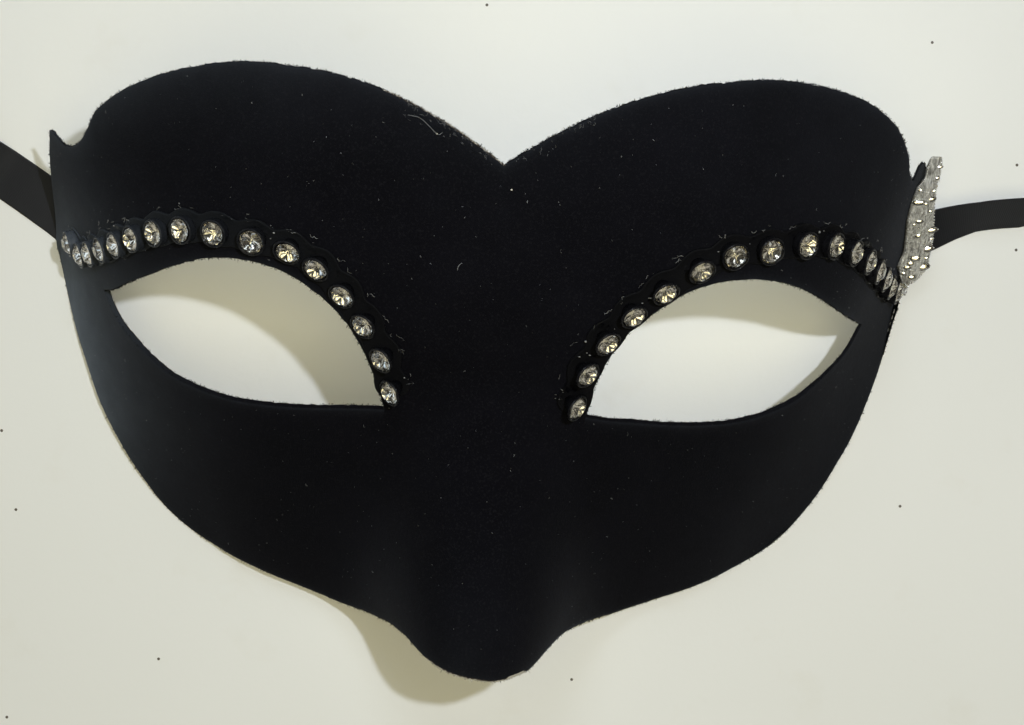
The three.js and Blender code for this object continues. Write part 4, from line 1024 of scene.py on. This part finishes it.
    # painted sheen: the band is painted lighter toward the left temple, as the flock is
    at_ = ob.data.attributes.new("pile_and_painted_sheen", "FLOAT", "POINT")
    at_.data.foreach_set("value", (0.42 * np.exp(-np.clip(q[:, 0] + 81.0, 0, 200) / 14.0)).astype(np.float32))
    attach(ob, "root")
    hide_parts(f"{nm}_brow_band")
    return ob


def stone_mesh(B, o, xa, ya, za, R, low, gird, top, spin, glass=0, foil=1):
    """Brilliant-cut stone with a flat table: glass crown over a foiled pavilion."""
    def ring(r, h, n, ph):
        f = (np.arange(n) + ph) * 2 * math.pi / n + spin
        return o + np.outer(np.cos(f) * r, xa) + np.outer(np.sin(f) * r, ya) + za * h
    T = ring(R * 0.50, top, 8, 0)
    M = ring(R * 0.775, gird + (top - gird) * 0.60, 8, 0.5)
    G = ring(R, gird, 16, 0)
    G2 = ring(R, gird - 0.10, 16, 0)
    N = ring(R * 0.56, low + (gird - low) * 0.38, 8, 0.5)
    tip = [o + za * low]
    V = np.concatenate([T, M, G, G2, N, tip])
    t, m, g, g2, nn, tp = 0, 8, 16, 32, 48, 56
    crown, pav = [[t + k for k in range(8)]], []
    for k in range(8):
        k2, km = (k + 1) % 8, (k - 1) % 8
        crown.append([t + k, m + k, t + k2])
        crown.append([t + k, m + km, g + 2 * k])
        crown.append([t + k, g + 2 * k, m + k])
        crown.append([m + k, g + 2 * k, g + 2 * k + 1])
        crown.append([m + k, g + 2 * k + 1, g + (2 * k + 2) % 16])
        pav.append([nn + k, g2 + 2 * k + 1, g2 + 2 * k])
        pav.append([nn + k, g2 + (2 * k + 2) % 16, g2 + 2 * k + 1])
        pav.append([tp, nn + k, g2 + 2 * k])
        pav.append([tp, g2 + 2 * k, nn + km])
    band = [[g + k, g2 + k, g2 + (k + 1) % 16, g + (k + 1) % 16] for k in range(16)]
    base = B.add(V, crown + band, glass, False)
    for f in pav:
        B.f.append([base + i for i in f])
        B.m.append(foil)
        B.s.append(False)


def make_stones():
    for s in "LR":
        nm = "left" if s == "L" else "right"
        for k in range(16):
            sg, a, v, p, n, along, up = row_frame(s, k)
            tilt = RNG.normal(size=2) * 0.035
            p, za = seat(sg, k, a, p, n, up)
            za = unit(za + along * tilt[0] + up * tilt[1])
            xa = unit(along - za * (along @ za))
            ya = np.cross(za, xa)
            B = Build()
            stone_mesh(B, p, xa, ya, za, 2.10, 0.72, 1.86, 2.78, RNG.uniform(0, 6.28))
            ob = B.obj(f"{nm}_rhinestone_{k + 1:02d}", [GLASS, FOIL])
            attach(ob, "root")
            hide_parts(f"{nm}_stone_{k + 1:02d}")


make_band("L")
make_band("R")
make_stones()


# ------------------------------------------------------------------ temple ornament
def spray_at(t):
    i = int(np.clip(math.floor(t), 0, len(SPRAY) - 2))
    q = SPRAY[i] + (SPRAY[i + 1] - SPRAY[i]) * (t - i)
    r = math.radians(q[4])
    return q[:3], q[3], unit(np.array([math.cos(r), 0.02, -math.sin(r)])), unit(np.array([math.sin(r), -0.02, math.cos(r)])), q[5]


def spray_skin(t, q):
    """Outer skin of the ornament: q 0 at the inner border, 0.4 at the ridge, 1 at the outer border."""
    p, w, ac, off, top = spray_at(t)
    i = int(np.clip(math.floor(t), 0, len(SPRAY) - 2))
    f = SPRAY_INNER[i] + (SPRAY_INNER[i + 1] - SPRAY_INNER[i]) * (t - i)
    a = p + off * top * 0.90 + ac * w * 0.10
    b = p + ac * w + off * top * 0.90
    return f + (a - f) * (q / 0.4) if q < 0.4 else a + (b - a) * ((q - 0.4) / 0.6)


def make_ornament():
    B = Build()
    ts = np.linspace(0.02, len(SPRAY) - 1.02, 150)
    qs = np.concatenate([np.linspace(0, 0.4, 13), np.linspace(0.42, 1.0, 23)])
    m = len(qs)
    V, F = [], []
    for t in ts:
        p, w, ac, off, top = spray_at(t)
        pinch = min(1.0, abs(t - 7.72) / 0.20) if abs(t - 7.72) < 0.20 else 1.0
        fine = 0.03 * math.sin(t * 31) + 0.02 * math.sin(t * 53 + 1)
        for q in qs:
            c = spray_skin(t, q)
            edge = 1 - min(1.0, min(q / 0.07, (1 - q) / 0.07)) if q < 0.07 or q > 0.93 else 0.0
            rib = 0.11 * abs(math.sin(math.pi * q * 6.5 + 0.5 * math.sin(t * 1.7))) + 0.05 * math.sin(q * 47 + t * 2)
            V.append(c + off * (rib + fine - 0.30 * edge ** 2 - 0.30 * (1 - pinch)))
        V.append(p + ac * (w * 1.02) + off * (top * 0.45))
        V.append(p + ac * w + off * 0.08)
        V.append(p + ac * (w * 0.5) + off * 0.03)
        V.append(p + off * 0.08)
    k = m + 4
    for i in range(len(ts) - 1):
        a, b = i * k, (i + 1) * k
        for j in range(k):
            j2 = (j + 1) % k
            F.append([a + j, a + j2, b + j2, b + j])
    F.append(list(range(k))[::-1])
    e = (len(ts) - 1) * k
    F.append([e + j for j in range(k)])
    B.add(V, F, 0, True)
    ico = ico_sphere()

    def bead(c, r, mat=1):
        B.add(c + ico[0] * r, ico[1], mat, True)
    # milled edges and the fine beads between the stones
    for q in (0.03, 0.985):
        for t in np.arange(0.3, len(SPRAY) - 1.2, 0.16):
            bead(spray_skin(t, q), 0.19 + 0.04 * math.sin(t * 9), 0 if q < 0.5 else 1)
    for _ in range(90):
        t, q = RNG.uniform(0.8, 7.4), RNG.uniform(0.08, 0.94)
        bead(spray_skin(t, q), RNG.uniform(0.09, 0.19))
    # a short strand of beads below the last stone
    for i in range(14):
        y = 3.2 - 0.19 * i
        bead(np.array([84.9 + 0.35 * math.sin(i * 2.1) - 0.03 * i, y, 4.4 - 0.10 * i]), 0.24 + 0.07 * math.sin(i * 3.3), 1 if i % 3 else 0)
    # cross bars that hold the stones
    for t in (1.6, 2.35, 2.9, 3.6, 4.25, 4.75, 5.4, 6.1, 6.65):
        for q in np.linspace(0.06, 0.96, 15):
            bead(spray_skin(t + 0.05 * math.sin(q * 9), q), 0.20, 0)
    # stones: low navettes that lie across, each over a near-black disc of painted shade in its cup
    for t, q, hl, hw in SPRAY_STONES:
        hl, hw = hl * 1.28, hw * 1.22
        p, w, ac, off, top = spray_at(t)
        c = spray_skin(t, q) + off * 0.12
        up = unit(np.array([-0.12, 0.05, 1.0]) + RNG.normal(size=3) * 0.035)
        xa = unit(np.array([0.97, 0.05, 0.0]) - up * 0.97 * up[0])
        ya = np.cross(up, xa)
        prof = [(0.0, 0.30), (0.35, 0.285), (0.62, 0.24), (0.84, 0.15), (1.0, 0.0), (0.96, -0.14), (0.80, -0.45), (0.5, -0.60), (0.0, -0.62)]
        rings, n_ = [], 18
        Vs = [c + up * prof[0][1] * hw]
        for r_, h_ in prof[1:-1]:
            for j in range(n_):
                f = 2 * math.pi * (j + 0.5) / n_
                x_, y_ = math.cos(f), math.sin(f)
                pt = 1 - 0.18 * abs(y_) ** 0.5 * (abs(x_) ** 2)
                Vs.append(c + xa * (hl * r_ * x_) + ya * (hw * r_ * y_ * pt) + up * h_ * hw)
        Vs.append(c + up * prof[-1][1] * hw)
        Fs = [[0, 1 + j, 1 + (j + 1) % n_] for j in range(n_)]
        for i in range(len(prof) - 3):
            a, b = 1 + i * n_, 1 + (i + 1) * n_
            Fs += [[a + j, b + j, b + (j + 1) % n_, a + (j + 1) % n_] for j in range(n_)]
        a = 1 + (len(prof) - 3) * n_
        Fs += [[a + (j + 1) % n_, a + j, len(Vs) - 1] for j in range(n_)]
        B.add(Vs, Fs, 2, False)
        # painted shade: a near-black disc under it, standing in for the shadow in its cup, and its prongs
        Vc = [c - up * hw * 0.35 + xa * hl * 1.12 * math.cos(f) + ya * hw * 1.20 * math.sin(f) for f in np.linspace(0, 2 * math.pi, 20, endpoint=False)]
        Vd = [v_ - up * 0.45 for v_ in Vc]
        B.add(Vc + Vd, [list(range(20)), list(range(20, 40))[::-1]] + [[j, 20 + j, 20 + (j + 1) % 20, (j + 1) % 20] for j in range(20)], 3, False)
        for sx in (-1, 1):
            bead(c + xa * (hl * 1.04 * sx) - up * 0.02, 0.13, 1)
    ob = B.obj("ornament", [FROST, SILVER, FOIL, CUP_SHADE_PAINT])
    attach(ob, "root")
    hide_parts("temple_ornament")
    return ob


def ico_sphere():
    t = (1 + math.sqrt(5)) / 2
    v = unit(np.array([[-1, t, 0], [1, t, 0], [-1, -t, 0], [1, -t, 0], [0, -1, t], [0, 1, t], [0, -1, -t], [0, 1, -t], [t, 0, -1], [t, 0, 1], [-t, 0, -1], [-t, 0, 1]], float))
    f = [[0, 11, 5], [0, 5, 1], [0, 1, 7], [0, 7, 10], [0, 10, 11], [1, 5, 9], [5, 11, 4], [11, 10, 2], [10, 7, 6], [7, 1, 8],
         [3, 9, 4], [3, 4, 2], [3, 2, 6], [3, 6, 8], [3, 8, 9], [4, 9, 5], [2, 4, 11], [6, 2, 10], [8, 6, 7], [9, 8, 1]]
    V, F, key = [list(x) for x in v], [], {}

    def mid(a, b):
        k = (min(a, b), max(a, b))
        if k not in key:
            key[k] = len(V)
            V.append(list(unit(np.array(V[a]) + np.array(V[b]))))
        return key[k]
    for a, b, c in f:
        x, y, z = mid(a, b), mid(b, c), mid(c, a)
        F += [[a, x, z], [b, y, x], [c, z, y], [x, y, z]]
    return np.array(V), F


make_ornament()

# ------------------------------------------------------------------ table and light
me = bpy.data.meshes.new("table")
S_ = 3.0
me.from_pydata([(-S_, -S_, 0), (S_, -S_, 0), (S_, S_, 0), (-S_, S_, 0)], [], [(0, 1, 2, 3)])
me.materials.append(TABLE)
table = bpy.data.objects.new("table", me)
bpy.context.scene.collection.objects.link(table)


def area(name, at, to, size, power, col, shape="DISK", size_y=None):
    d = bpy.data.lights.new(name, "AREA")
    d.shape, d.size, d.energy, d.color = shape, size, power, col
    if size_y:
        d.size_y = size_y
    o = bpy.data.objects.new(name, d)
    bpy.context.scene.collection.objects.link(o)
    o.location = at
    o.rotation_mode = "QUATERNION"
    o.rotation_quaternion = (Vector(to) - Vector(at)).to_track_quat("-Z", "Y")
    return o


KEY = tuple((np.array([86.93, 73.83, 471.0]) + SHIFT) * MM)
area("key", KEY, (0, 0.01, 0.02), 0.014, 1.10, (0.83, 0.89, 1.0))
area("top_softbox", (-0.06, 0.42, 0.50), (-0.04, 0.12, 0), 0.25, 0.87, (0.82, 0.91, 1.0), "SQUARE")
area("overhead_softbox", (0.0, -0.05, 0.90), (0, 0, 0), 0.60, 3.05, (1.0, 0.90, 0.53), "SQUARE")
area("window", (-1.1, 0.35, 0.42), (0, 0, 0.02), 0.7, 1.2, (0.62, 0.80, 1.0), "RECTANGLE", 0.5)

world = bpy.data.worlds.new("room")
bpy.context.scene.world = world
world.use_nodes = True
wt = world.node_tree
wt.nodes.clear()
bg, wo = wt.nodes.new("ShaderNodeBackground"), wt.nodes.new("ShaderNodeOutputWorld")
tcw, sepw, rmp = wt.nodes.new("ShaderNodeTexCoord"), wt.nodes.new("ShaderNodeSeparateXYZ"), wt.nodes.new("ShaderNodeValToRGB")
wt.links.new(tcw.outputs["Generated"], sepw.inputs[0])
wt.links.new(sepw.outputs[2], rmp.inputs["Fac"])
el = rmp.color_ramp.elements
for _ in range(2):
    el.new(0.5)
for e, (pos, c) in zip(el, [(0.0, (0.62, 0.60, 0.54)), (0.16, (0.50, 0.48, 0.42)), (0.45, (0.05, 0.048, 0.040)), (1.0, (0.02, 0.02, 0.018))]):
    e.position, e.color = pos, (*c, 1)
wt.links.new(rmp.outputs["Color"], bg.inputs["Color"])
bg.inputs["Strength"].default_value = 1.0
wt.links.new(bg.outputs[0], wo.inputs["Surface"])
bpy.context.scene.view_settings.view_transform = "Standard"
bpy.context.scene.view_settings.look = "None"
